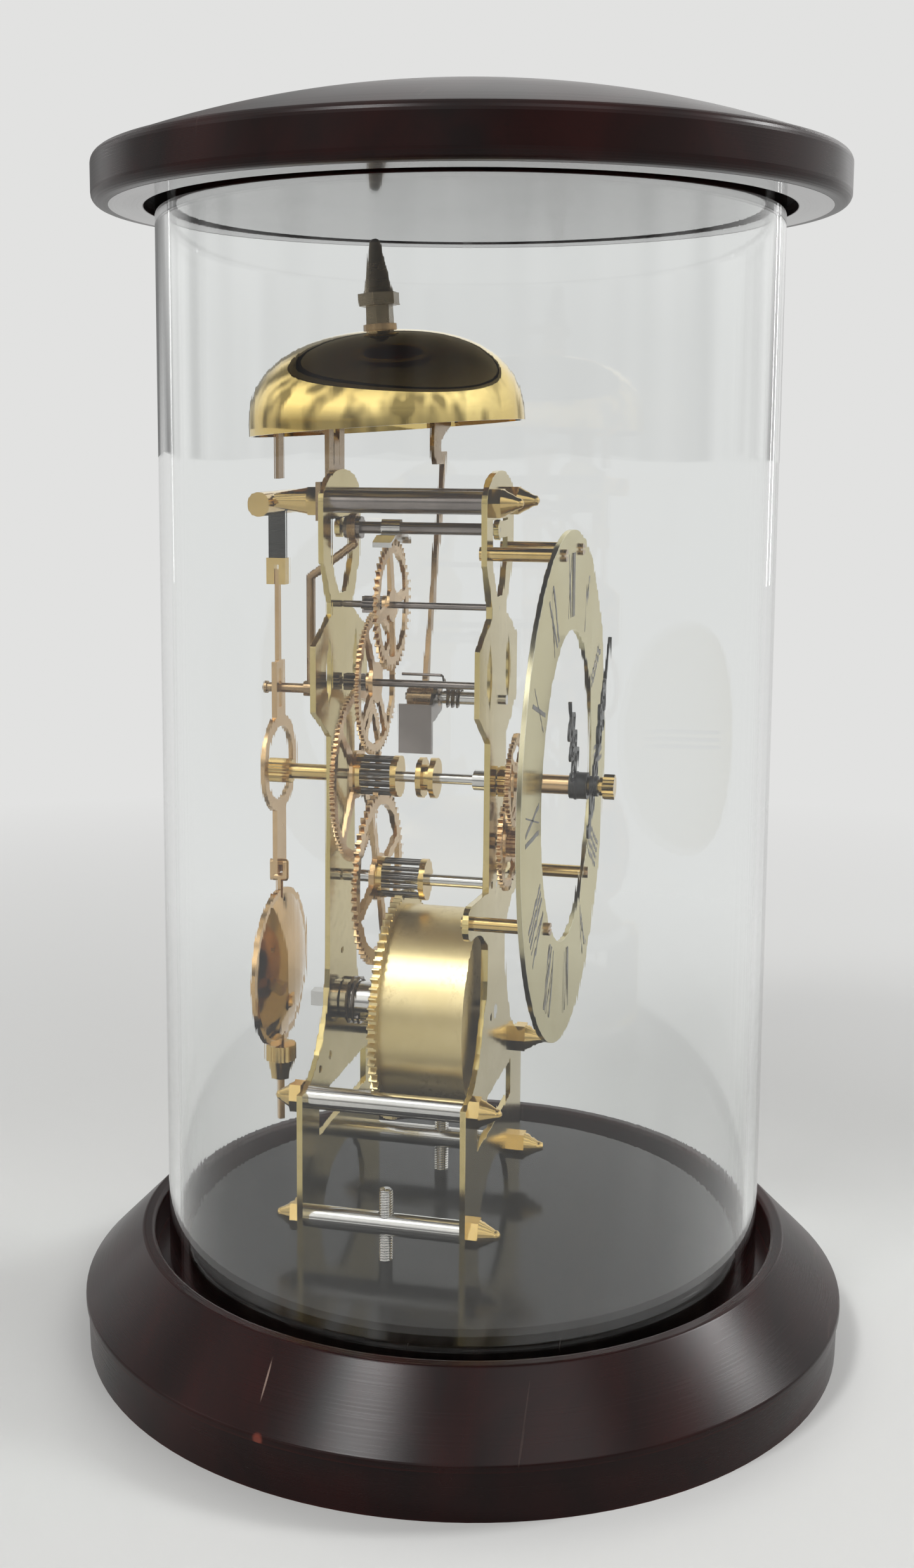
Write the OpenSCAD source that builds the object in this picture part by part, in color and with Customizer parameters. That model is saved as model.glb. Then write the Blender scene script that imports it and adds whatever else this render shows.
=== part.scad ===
// Skeleton clock under a straight glass jar with a turned wood base and lid.
// +Z is up, the dial faces -Y, and the origin is the middle of the underside.

/* [Jar] */
// Outside radius of the glass
glass_r = 80; // [78:0.5:95]
// Thickness of the glass
glass_wall = 3; // [2:0.25:4]
// Length of the glass tube
glass_len = 282; // [280:1:340]
// Free width between the glass and the floor board
groove_in = 2; // [1:0.25:3]
// Free width between the glass and the lip of the base
groove_out = 3.6; // [1:0.2:6]

/* [Base] */
// Height of the groove that the glass stands in
groove_z = 21; // [16:0.5:30]
// Thickness of the floor board
floor_t = 7; // [5:0.5:12]
// Rounding of the floor board's edge
floor_round = 1.5; // [0.5:0.25:3]
// Height of the lip over the groove
lip_h = 8.6; // [6:0.2:12]
// Width of the flat lip
lip_w = 4.1; // [3:0.1:8]
// How far the bevel runs out from the lip
bevel_run = 14.8; // [10:0.2:24]
// Height of the upright band under the bevel
band_h = 13; // [9:0.5:15]
// Depth of the step under the bevel's edge
step_d = 0.6; // [0.2:0.1:1.5]
// Draw-in of the band at the table
band_draw = 0.3; // [0:0.1:1]

/* [Lid] */
// How far the rim stands out past the glass
lid_over = 15.8; // [8:0.2:24]
// Thickness of the lid's rim
rim_h = 12.3; // [9:0.1:18]
// Depth of the groove under the lid
lid_groove_d = 5; // [3:0.5:7]
// Free width outside the glass in the lid's groove
lid_groove_out = 2.8; // [1:0.2:5]
// Free width inside the glass in the lid's groove
lid_groove_in = 2.2; // [1:0.2:4]
// Rise of the domed top over the rim
crown_h = 17; // [8:0.5:24]
// Rounding of the rim's edges
rim_round = 2.6; // [1:0.2:4]

/* [Frame] */
// Free distance between the two plates
plate_gap = 41.6; // [40:0.2:50]
// Thickness of the plates
plate_t = 1.5; // [1:0.1:2.5]
// Distance from the jar's middle to the front plate's inner face
plate_front = 7.55; // [5:0.05:12]
// Half width across the legs
leg_half = 36.5; // [35:0.5:42]
// Half width of the arch between the legs
arch_half = 20.5; // [12:0.5:24]
// Height of the arch
arch_h = 17.5; // [12:0.5:20]
// Diameter of the pillars
pillar_d = 6; // [5:0.25:7]
// Diameter of the pillars' threaded ends
pillar_end_d = 3; // [2:0.25:4]
// Half distance between the lower pillars
leg_pillar_x = 31; // [28:0.5:32]
// Height of the lowest pillars over the floor
low_pillar_h = 9.5; // [8:0.5:11]
// Height of the middle pillars over the floor
mid_pillar_h = 42; // [40:0.5:44]
// Half distance between the top pillars
top_pillar_x = 11; // [10:0.25:12]
// Diameter of the studs that hold the clock to the base
stud_d = 4; // [3:0.5:4.5]
// How far a stud stands above its pillar
stud_up = 6.5; // [3:0.5:9]
// Size over the corners of the pillar nuts
nut_d = 8.4; // [7:0.2:10]
// Length of the hexagon of a pillar nut
nut_hex_len = 2.8; // [2:0.1:5]
// Length of the cone of a front pillar nut
nut_cone_len = 4; // [3:0.2:8]
// Length of the cone of a rear pillar nut
rear_cone_len = 3.2; // [2.6:0.2:8]

/* [Train] */
// Height of the barrel over the floor
barrel_h = 59.1; // [58.4:0.1:61]
// Tooth size of the two slow wheels
slow_module = 0.8; // [0.78:0.01:0.82]
// Tooth size of the two fast wheels
fast_module = 0.5; // [0.49:0.005:0.52]
// Tooth size of the cannon pinion and the minute wheel
motion_module = 0.6; // [0.55:0.01:0.65]
// Outside radius of the spring barrel
barrel_r = 27.3; // [22:0.1:27.6]
// Length of the spring barrel
barrel_len = 22.3; // [18:0.1:23]
// Radius over the escape wheel's teeth
escape_r = 17.6; // [14:0.1:18]
// Height of the anchor's arbor over the escape wheel's arbor
anchor_rise = 20.45; // [20.4:0.05:21]
// Diameter of the centre arbor
centre_d = 2.9; // [2.4:0.1:3.4]

/* [Pendulum] */
// Distance from the back plate to the pendulum's middle
pendulum_back = 17; // [15.5:0.1:19]
// Thickness of the pendulum strip
strip_t = 1.2; // [0.8:0.1:1.6]
// Diameter of the suspension bar
bar_d = 6.4; // [5:0.2:7]
// Length of the suspension bar
bar_len = 30; // [28:0.5:40]
// Diameter of the bob
bob_d = 44; // [34:0.5:50]
// Thickness of the bob
bob_t = 9.6; // [7:0.2:11]
// Drop from the swing axis to the bob's middle
bob_drop = 122; // [118:0.5:124]
// Outside diameter of the ring in the strip
ring_d = 26.8; // [24:0.2:28]
// Inside diameter of the ring in the strip
ring_bore = 20.4; // [19:0.2:21]
// Diameter of the crutch wire
crutch_d = 2.2; // [1.6:0.1:2.6]
// Diameter of the crutch pin
crutch_pin_d = 2.6; // [2:0.1:3]

/* [Dial] */
// Outside diameter of the dial ring
dial_d = 134; // [128:0.5:138]
// Inside diameter of the dial ring
dial_bore = 82; // [70:0.5:84]
// Thickness of the dial ring
dial_t = 1.2; // [0.8:0.1:2]
// Distance from the front plate to the dial
dial_stand = 17.8; // [16.5:0.1:19]
// Diameter of the dial pillars
dial_pillar_d = 3.6; // [3:0.1:4.5]
// Length of the minute hand
minute_len = 45; // [30:0.5:55]
// Length of the hour hand
hour_len = 26.6; // [18:0.2:32]
// Where the minute hand points, from twelve, in degrees
minute_at = 36; // [0:1:359]
// Where the hour hand points, from twelve, in degrees
hour_at = -27; // [-180:1:180]

/* [Bell] */
// Radius of the bell's rim
bell_r = 36.5; // [34:0.5:40]
// Height of the bell
bell_h = 25.4; // [20:0.2:28]
// Thickness of the bell
bell_t = 1; // [0.8:0.1:1.5]
// Height of the bell's top over the plates' top
bell_up = 36; // [34:0.5:42]
// Backward lean of the bell, in degrees
bell_lean = 4; // [0:0.5:5]
// Thickness of the bell stand
stand_t = 1.2; // [0.8:0.1:1.6]

/* [Hidden] */
$fn = 64;

// Clearances: running shafts, fixed fits and pieces that only pass each other
run_gap = 0.04;
fit_gap = 0.05;
free_gap = 0.3;

// Case heights and radii
floor_z = groove_z + floor_t;
floor_r = glass_r - glass_wall - groove_in;
lip_in_r = glass_r + groove_out;
lip_out_r = lip_in_r + lip_w;
lip_z = groove_z + lip_h;
base_r = lip_out_r + bevel_run;
edge_round = 1.2;
glass_top = groove_z + glass_len;
rim_z = glass_top - lid_groove_d;
lid_r = glass_r + lid_over;
stud_hole_d = stud_d + 0.4;
recess_d = 14;
recess_z = 9;

// Plate faces, seen along Y
front_in = -plate_front;
front_out = front_in - plate_t;
back_in = front_in + plate_gap;
back_out = back_in + plate_t;
plate_mid = (front_in + back_in) / 2;

// Tooth counts
barrel_teeth = 76;
slow_leaves = 12;
second_teeth = 58;
centre_teeth = 93;
fast_leaves = 8;
third_teeth = 76;
escape_teeth = 48;
cannon_leaves = 12;
minute_teeth = 42;
minute_leaves = 14;
hour_teeth = 48;

// Arbor heights over the floor, from the tooth counts
second_h = barrel_h + slow_module * (barrel_teeth + slow_leaves) / 2;
centre_h = second_h + slow_module * (second_teeth + slow_leaves) / 2;
third_h = centre_h + fast_module * (centre_teeth + fast_leaves) / 2;
escape_h = third_h + fast_module * (third_teeth + fast_leaves) / 2;
anchor_h = escape_h + anchor_rise;
motion_c = motion_module * (cannon_leaves + minute_teeth) / 2;
hour_module = 2 * motion_c / (minute_leaves + hour_teeth);
minute_h = centre_h - motion_c;
top_pillar_h = anchor_h + 7.3;
plate_top_h = top_pillar_h + 8.1;
bell_top_h = plate_top_h + bell_up;

// Places along Y of what turns between the plates
shaft_gap = 0.3;
wheel_t = 1.4;
fine_t = 1.1;
barrel_y0 = front_in + 1.75;
barrel_y1 = barrel_y0 + barrel_len;
barrel_wheel_t = 2;
second_wheel_y = back_in - 10.6;
second_pinion_y0 = barrel_y1 - 6.5;
centre_wheel_y = back_in - 4.5;
centre_pinion_y0 = second_wheel_y - 5.7;
third_wheel_y = back_in - 9.8;
escape_wheel_y = back_in - 14.2;
cam_y = plate_mid - 5.7;
cam_len = 5;
cam_d = 10.9;

// Hammer pivot
hammer_x = 5;
hammer_h = third_h - 4;
hammer_y = plate_mid - 0.75;
hammer_post_d = 3.6;
hammer_pin_d = 2;
hammer_lean = 17.8;
hammer_len = 65.1;

// Pendulum heights over the floor
pendulum_y = back_out + pendulum_back;
swing_h = anchor_h;
bar_h = top_pillar_h - 1;
crutch_drop = 43.8;
crutch_set_back = 7.6;
crutch_bend_drop = 13.5;
crutch_pin_h = swing_h - crutch_drop;
crutch_back_y = back_out + crutch_set_back;
ring_h = centre_h + 2.1;
bob_h = swing_h - bob_drop;
eye_h = bob_h + bob_d / 2 + 7.4;
strip_w = 7.5;
slot_w = crutch_pin_d + 2 * free_gap;
slot_len = 10.6;
rod_d = 2.2;

// Hands and dial along Y
dial_back = front_out - dial_stand;
dial_front = dial_back - dial_t;
cannon_y0 = front_out - free_gap;
cannon_len = 3.6;
pipe_d = 3.6;
tube_d = 5.1;
minute_wheel_y = cannon_y0 - 2;
hour_wheel_y = minute_wheel_y - 1.9;
hour_hand_y = dial_front - 1.6;
minute_hand_y = hour_hand_y - 4.6;
hand_t = 0.7;
dial_top_x = 13.6;
dial_top_h = anchor_h - 5.5;
dial_low_x = 31;
dial_low_h = centre_h - 30.8;

// A flat outline in X and Z, given thickness between two places along Y
module slab(y0, y1) {
    translate([0, y1, 0]) rotate([90, 0, 0]) linear_extrude(y1 - y0) children();
}

// A round bar along Y
module rod(y0, y1, d, fn = 64) {
    translate([0, y1, 0]) rotate([90, 0, 0]) cylinder(h = y1 - y0, d = d, $fn = fn);
}

// A cone along Y, d0 at y0 and d1 at y1
module cone(y0, y1, d0, d1) {
    translate([0, y0, 0]) rotate([-90, 0, 0]) cylinder(h = y1 - y0, d1 = d0, d2 = d1);
}

// Moves a clock piece to its height over the floor
module at_height(h) {
    translate([0, 0, floor_z + h]) children();
}

// The same piece on both sides of the middle
module both_sides(x) {
    for (side = [-1, 1]) translate([side * x, 0, 0]) children();
}

function arc(cx, cy, rx, ry, a0, a1, n) =
    [for (i = [0 : n]) let (a = a0 + (a1 - a0) * i / n) [cx + rx * cos(a), cy + ry * sin(a)]];
function mirrored(p) = [for (i = [len(p) - 1 : -1 : 0]) [-p[i][0], p[i][1]]];
function polar(r, a) = [r * cos(a), r * sin(a)];
function unit(v) = v / norm(v);

// Turns of wire round the Y axis, from y0 on, the first at angle a0
function helix(r, y0, pitch, turns, a0) =
    let (per_turn = 12)
    [for (i = [0 : turns * per_turn]) let (a = a0 + 360 * i / per_turn)
        [r * cos(a), y0 + pitch * i / per_turn, r * sin(a)]];

// Directions along a path, and a side direction carried along it without twist
function along(p) = [for (i = [0 : len(p) - 1]) unit(p[min(i + 1, len(p) - 1)] - p[max(i - 1, 0)])];
function square_to(v, t) = unit(v - t * (v * t));
function carried(t, v) =
    [for (i = 0, s = square_to(v, t[0]); i < len(t); i = i + 1, s = square_to(s, t[min(i, len(t) - 1)])) s];

// Least free width between places on a wire that are more than half a turn apart
function least_gap(p, d) =
    min([for (i = [0 : len(p) - 8]) for (j = [i + 7 : len(p) - 1]) norm(p[i] - p[j])]) - d;

// Round wire along a path
module wire(p, d) {
    sides = 6;
    t = along(p);
    s = carried(t, [0, 1, 0]);
    last = (len(p) - 1) * sides;
    points = [for (i = [0 : len(p) - 1]) for (k = [0 : sides - 1]) let (a = 360 * k / sides)
        p[i] + d / 2 * (cos(a) * s[i] + sin(a) * cross(t[i], s[i]))];
    walls = [for (i = [0 : sides : last - 1]) for (k = [0 : sides - 1]) let (m = (k + 1) % sides)
        each [[i + k, i + sides + m, i + m], [i + k, i + sides + k, i + sides + m]]];
    caps = [for (k = [1 : sides - 2]) each [[0, k, k + 1], [last, last + k + 1, last + k]]];
    polyhedron(points, concat(walls, caps));
}

// Gear outline with straight flanks, a tooth centred on the angle called phase
function gear_points(n, m, add, ded, tip, root, phase) =
    let (pitch_r = m * n / 2, step = 360 / n)
    [for (i = [0 : n - 1]) let (a = phase + i * step)
        for (k = [[-ded, -root], [add, -tip], [add, tip], [-ded, root]])
            polar(pitch_r + k[0] * m, a + k[1] * step)];

// Wheel tooth and pinion leaf, as shares of the pitch
module wheel_gear(n, m, phase) {
    polygon(gear_points(n, m, 0.9, 1.1, 0.07, 0.34, phase));
}
module pinion_gear(n, m, phase) {
    polygon(gear_points(n, m, 0.75, 1.2, 0.06, 0.27, phase));
}

// Openings between the spokes of a wheel
module spoke_gaps(count, r0, r1, half_w, phase) {
    steps = 8;
    for (i = [0 : count - 1]) {
        a = phase + i * 360 / count;
        span = 360 / count;
        in_a = asin(half_w / r0);
        out_a = asin(half_w / r1);
        polygon(concat(
            arc(0, 0, r1, r1, a + out_a, a + span - out_a, steps),
            arc(0, 0, r0, r0, a + span - in_a, a + in_a, steps)));
    }
}

// Pinion of round bars between two end discs
module lantern(y0, y1, n, m, bore, phase) {
    bar_r = 0.55;
    disc_t = 1.7;
    pitch_r = m * n / 2;
    disc_d = 2 * (pitch_r + bar_r + 0.25);
    for (i = [0 : n - 1]) {
        p = polar(pitch_r, phase + i * 360 / n);
        translate([p[0], 0, p[1]]) rod(y0 + disc_t / 2, y1 - disc_t / 2, 2 * bar_r, 16);
    }
    difference() {
        union() {
            rod(y0, y0 + disc_t, disc_d);
            rod(y1 - disc_t, y1, disc_d);
        }
        rod(y0 - 1, y1 + 1, bore);
    }
}

// Outline of a round grip with straight ridges
module ridged(d, n) {
    ridge = 0.35;
    polygon([for (i = [0 : 2 * n - 1]) polar(d / 2 - (i % 2) * ridge, i * 180 / n)]);
}
module knurled(y0, y1, d, n) {
    slab(y0, y1) ridged(d, n);
}

// Cone-nosed hexagon nut along Y, its seat at zero and its nose toward +Y
module nosed_nut(cone_len) {
    nose_d = 2.9;
    neck_d = nut_d * 0.86;
    difference() {
        union() {
            rod(0, nut_hex_len, nut_d, 6);
            cone(nut_hex_len, nut_hex_len + cone_len, neck_d, nose_d);
            translate([0, nut_hex_len + cone_len, 0]) sphere(d = nose_d);
        }
        rod(-1, pillar_end_len - plate_t + fit_gap, pillar_end_d + 2 * fit_gap);
    }
}

// Case

module base_moulding() {
    color("#2a0d0b") difference() {
        rotate_extrude($fn = 128) polygon(concat(
            [[0, 0], [base_r - step_d - band_draw, 0], [base_r - step_d, band_h - step_d],
             [base_r, band_h - step_d]],
            arc(base_r - edge_round, band_h + edge_round * 0.4, edge_round, edge_round, 0, 40, 4),
            arc(lip_out_r - edge_round, lip_z - edge_round, edge_round, edge_round, 42, 90, 4),
            arc(lip_in_r + edge_round, lip_z - edge_round, edge_round, edge_round, 90, 180, 6),
            [[lip_in_r, groove_z], [0, groove_z]]));
        both_sides(leg_pillar_x) translate([0, plate_mid, -1]) {
            cylinder(h = groove_z + 2, d = stud_hole_d);
            cylinder(h = recess_z + 1, d = recess_d);
        }
    }
}

module floor_board() {
    color("#171312") difference() {
        translate([0, 0, groove_z]) rotate_extrude($fn = 128) polygon(concat(
            [[0, 0], [floor_r, 0]],
            arc(floor_r - floor_round, floor_t - floor_round, floor_round, floor_round, 0, 90, 6),
            [[0, floor_t]]));
        both_sides(leg_pillar_x) translate([0, plate_mid, groove_z - 1])
            cylinder(h = floor_t + 2, d = stud_hole_d);
    }
}

module glass_cylinder() {
    color("#dfe9ea", 0.3) translate([0, 0, groove_z]) difference() {
        cylinder(h = glass_len, r = glass_r, $fn = 128);
        translate([0, 0, -1]) cylinder(h = glass_len + 2, r = glass_r - glass_wall, $fn = 128);
    }
}

module lid() {
    crown_r = lid_r - rim_round;
    dome_r = (crown_r * crown_r + crown_h * crown_h) / (2 * crown_h);
    dome_a = asin(crown_r / dome_r);
    plug_r = glass_r - glass_wall - lid_groove_in;
    groove_r = glass_r + lid_groove_out;
    color("#2a0d0b") translate([0, 0, rim_z]) rotate_extrude($fn = 128) polygon(concat(
        [[0, 0], [plug_r, 0], [plug_r, lid_groove_d], [groove_r, lid_groove_d], [groove_r, 0]],
        arc(lid_r - rim_round, rim_round, rim_round, rim_round, -90, 0, 6),
        arc(lid_r - rim_round, rim_h - rim_round, rim_round, rim_round, 0, 75, 5),
        arc(0, rim_h + crown_h - dome_r, dome_r, dome_r, 90 - dome_a, 90, 24)));
}

// Frame

waist_half = 9.8;
hex_half = 24.3;
column_half = 10.5;
top_half = 17;
shoulder_h = mid_pillar_h + 2;
flare_h = barrel_h + 16.9;
window_half = 22;
pillar_end_len = plate_t + 3.4;

// Right-hand edge of a plate, from the top to the crown of the arch
plate_edge = concat(
    arc(0, top_pillar_h + 0.1, top_half, plate_top_h - top_pillar_h - 0.1, 90, 0, 12),
    [[top_half - 0.5, escape_h + 12], [waist_half, escape_h + 1], [waist_half, escape_h - 2],
     [hex_half, escape_h - 9], [hex_half, third_h - 5], [column_half, third_h - 13.5],
     [column_half + 0.6, second_h + 3]],
    arc(leg_half, flare_h, leg_half - column_half - 1.5, flare_h - shoulder_h, 180, 270, 10),
    [[leg_half, 0], [arch_half, 0]],
    arc(0, 0, arch_half, arch_h, 10, 90, 10));

// Opening round the anchor's pivot
anchor_gap_edge = [[10, top_pillar_h - 4.4], [9.6, escape_h + 11.5], [3.3, escape_h + 3.1]];
anchor_gap = concat(anchor_gap_edge, mirrored(anchor_gap_edge));

// Leaf-shaped slot, standing upright
module leaf_slot(len, w) {
    r = (len * len / 4 + w * w / 4) / w;
    intersection() {
        translate([r - w / 2, 0]) circle(r = r, $fn = 96);
        translate([w / 2 - r, 0]) circle(r = r, $fn = 96);
    }
}

module plate_outline() {
    tongue_w = 4.4;
    slot_len_y = 18.5;
    slot_width = 5.2;
    difference() {
        polygon(concat(plate_edge, mirrored(plate_edge)));
        difference() {
            polygon(anchor_gap);
            translate([0, anchor_h]) circle(d = tongue_w + 1);
            translate([0, anchor_h - tongue_w / 2]) square([waist_half + 2, tongue_w]);
        }
        for (side = [-1, 1]) translate([side * 12, third_h + 4]) leaf_slot(slot_len_y, slot_width);
        translate([-window_half, arch_h + 10.5]) square([2 * window_half, shoulder_h - arch_h - 16]);
    }
}

// Pivot holes that both plates share, as [height, diameter]
pivot_d = 1.2;
shared_pivots = [[second_h, 1.6], [third_h, pivot_d], [escape_h, pivot_d], [anchor_h, pivot_d]];
winding_front_d = 4;
winding_rear_d = 5.5;

module pillar_holes(y0, y1) {
    d = pillar_end_d + 2 * fit_gap;
    both_sides(leg_pillar_x) {
        at_height(low_pillar_h) rod(y0, y1, d);
        at_height(mid_pillar_h) rod(y0, y1, d);
    }
    both_sides(top_pillar_x) at_height(top_pillar_h) rod(y0, y1, d);
}

module pivot_holes(y0, y1) {
    for (p = shared_pivots) at_height(p[0]) rod(y0, y1, p[1] + 2 * run_gap);
    at_height(centre_h) rod(y0, y1, centre_d + 2 * run_gap);
}

// Spare holes seen in each plate, as [across, height, diameter]
back_spare_holes = [[-1.1, 73.3, 2], [-12.2, 47, 2.6], [-21.2, 46.1, 2]];
front_spare_holes = [[-6.3, 59.4, 2.2], [-7.2, 95.7, 2], [-14.6, 170.6, 2]];

module spare_holes(holes, y0, y1) {
    for (p = holes) at_height(p[1]) translate([p[0], 0, 0]) rod(y0, y1, p[2]);
}

module back_plate() {
    color("#cdb765") difference() {
        at_height(0) slab(back_in, back_out) plate_outline();
        pillar_holes(back_in - 1, back_out + 1);
        pivot_holes(back_in - 1, back_out + 1);
        at_height(barrel_h) rod(back_in - 1, back_out + 1, winding_rear_d + 2 * run_gap);
        spare_holes(back_spare_holes, back_in - 1, back_out + 1);
    }
}

module front_plate() {
    ear_r = 4.5;
    ear_in = column_half - 1;
    ear_drop = 14;
    ear_edge = concat(
        [[ear_in, dial_low_h + 3]],
        arc(dial_low_x, dial_low_h, ear_r, ear_r, 100, -80, 12),
        arc(dial_low_x - 1, dial_low_h - ear_drop, dial_low_x - column_half - 2, ear_drop - ear_r,
            90, 180, 8),
        [[ear_in, dial_low_h - ear_drop]]);
    color("#cdb765") difference() {
        at_height(0) slab(front_out, front_in) {
            plate_outline();
            polygon(ear_edge);
            polygon(mirrored(ear_edge));
        }
        pillar_holes(front_out - 1, front_in + 1);
        pivot_holes(front_out - 1, front_in + 1);
        at_height(barrel_h) rod(front_out - 1, front_in + 1, winding_front_d + 2 * run_gap);
        at_height(minute_h) rod(front_out - 1, front_in + 1, minute_post_d + 2 * fit_gap);
        spare_holes(front_spare_holes, front_out - 1, front_in + 1);
        at_height(hammer_h) translate([hammer_x, 0, 0])
            rod(front_out - 1, front_in + 1, hammer_post_d - 1 + 2 * fit_gap);
        dial_places() rod(front_out - 1, front_in + 1, dial_rivet_d + 2 * fit_gap);
    }
}

module pillar() {
    rod(front_in, back_in, pillar_d);
    rod(front_in - pillar_end_len, back_in + pillar_end_len, pillar_end_d);
}

module lower_pillars() {
    color("#b9b7b1") both_sides(leg_pillar_x) at_height(low_pillar_h) difference() {
        pillar();
        translate([0, plate_mid, -pillar_d]) cylinder(h = 2 * pillar_d, d = stud_d + 2 * fit_gap);
    }
}

module middle_pillars() {
    color("#b9b7b1") both_sides(leg_pillar_x) at_height(mid_pillar_h) pillar();
}

module top_pillars() {
    color("#8c877f") both_sides(top_pillar_x) at_height(top_pillar_h) {
        rod(front_in, back_in, pillar_d);
        rod(front_in - pillar_end_len, back_in + pillar_end_len + stand_t, pillar_end_d);
    }
}

module front_pillar_nuts() {
    color("#b78f45") for (p = [[leg_pillar_x, low_pillar_h], [leg_pillar_x, mid_pillar_h],
        [top_pillar_x, top_pillar_h]])
        both_sides(p[0]) at_height(p[1]) translate([0, front_out, 0]) mirror([0, 1, 0])
            nosed_nut(nut_cone_len);
}

// The two top nuts run on into the suspension bar
module rear_pillar_nuts() {
    color("#b78f45") for (h = [low_pillar_h, mid_pillar_h])
        both_sides(leg_pillar_x) at_height(h) translate([0, back_out, 0]) nosed_nut(rear_cone_len);
    color("#b78f45") both_sides(top_pillar_x) at_height(top_pillar_h) {
        seat = back_out + stand_t;
        tip = pendulum_y - bar_d / 2 - 0.2;
        translate([0, seat, 0]) difference() {
            union() {
                rod(0, nut_hex_len, nut_d, 6);
                cone(nut_hex_len, tip - seat, nut_d * 0.86, spigot_d + 1.4);
                rod(tip - seat - 1, pendulum_y - seat, spigot_d);
            }
            rod(-1, pillar_end_len - plate_t + fit_gap, pillar_end_d + 2 * fit_gap);
        }
    }
}

stud_foot = 4;
washer_t = 1;
washer_d = stud_d + 6;
stud_nut_h = 3.2;
stud_nut_d = stud_d + 4;

module base_studs() {
    color("#9a948a") both_sides(leg_pillar_x) translate([0, plate_mid, stud_foot])
        cylinder(h = floor_z + low_pillar_h + pillar_d / 2 + stud_up - stud_foot, d = stud_d);
}

module stud_washers() {
    seat = recess_z - washer_t;
    color("#9a948a") both_sides(leg_pillar_x) translate([0, plate_mid, seat]) difference() {
        cylinder(h = washer_t, d = washer_d);
        translate([0, 0, -1]) cylinder(h = washer_t + 2, d = stud_d + 2 * fit_gap);
    }
}

module stud_nuts() {
    seat = recess_z - washer_t - stud_nut_h;
    color("#9a948a") both_sides(leg_pillar_x) translate([0, plate_mid, seat]) difference() {
        cylinder(h = stud_nut_h, d = stud_nut_d, $fn = 6);
        translate([0, 0, -1]) cylinder(h = stud_nut_h + 2, d = stud_d + 2 * fit_gap);
    }
}

// Bell, whose round crown falls a little over the width of its seat

bell_y = back_in - 10.5;
finial_stud_d = 3.6;
seat_d = 9;
seat_h = 3;
crown_fall = 0.15;
bell_washer_t = 1.6;
tab_h = bell_top_h - bell_t - seat_h;

// Frame of the leaning bell, its origin at the middle of its crown
module bell_frame() {
    translate([0, bell_y, floor_z + bell_top_h]) rotate([-bell_lean, 0, 0]) children();
}

// Half outline of the bell, with a flat seat at the top and a steep lip
function bell_curve(r, h, n) =
    [for (i = [0 : n]) let (a = 90 * i / n) [r * pow(sin(a), 0.86), -h * (1 - pow(cos(a), 0.8))]];

module bell() {
    steps = 16;
    inside = bell_curve(bell_r - bell_t, bell_h - bell_t, steps);
    color("#d3b054") bell_frame() difference() {
        rotate_extrude($fn = 96) polygon(concat(
            bell_curve(bell_r, bell_h, steps),
            [for (i = [steps : -1 : 0]) inside[i] + [0, -bell_t]]));
        translate([0, 0, -bell_h / 2]) cylinder(h = bell_h, d = finial_stud_d + 2 * fit_gap);
    }
}

module bell_washer() {
    color("#8d7440") bell_frame() difference() {
        cylinder(h = bell_washer_t, d = seat_d);
        translate([0, 0, -1]) cylinder(h = bell_washer_t + 2, d = finial_stud_d + 2 * fit_gap);
    }
}

module bell_finial() {
    stud_low = bell_t + seat_h + stand_t + 0.3;
    neck_h = 4.8;
    hex_h = 3.2;
    spire_h = 12.6;
    tip_d = 2.8;
    color("#86713f") bell_frame() {
        translate([0, 0, -stud_low]) cylinder(h = stud_low + bell_washer_t, d = finial_stud_d);
        translate([0, 0, bell_washer_t]) {
            cylinder(h = neck_h, d = 7.4, $fn = 6);
            translate([0, 0, neck_h]) cylinder(h = hex_h, d = 11, $fn = 6);
            translate([0, 0, neck_h + hex_h]) cylinder(h = spire_h, d1 = 7.8, d2 = tip_d);
            translate([0, 0, neck_h + hex_h + spire_h]) sphere(d = tip_d);
        }
    }
}

stand_half = 7;
stand_foot_half = 15.4;
tongue_half = 2.3;

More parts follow.
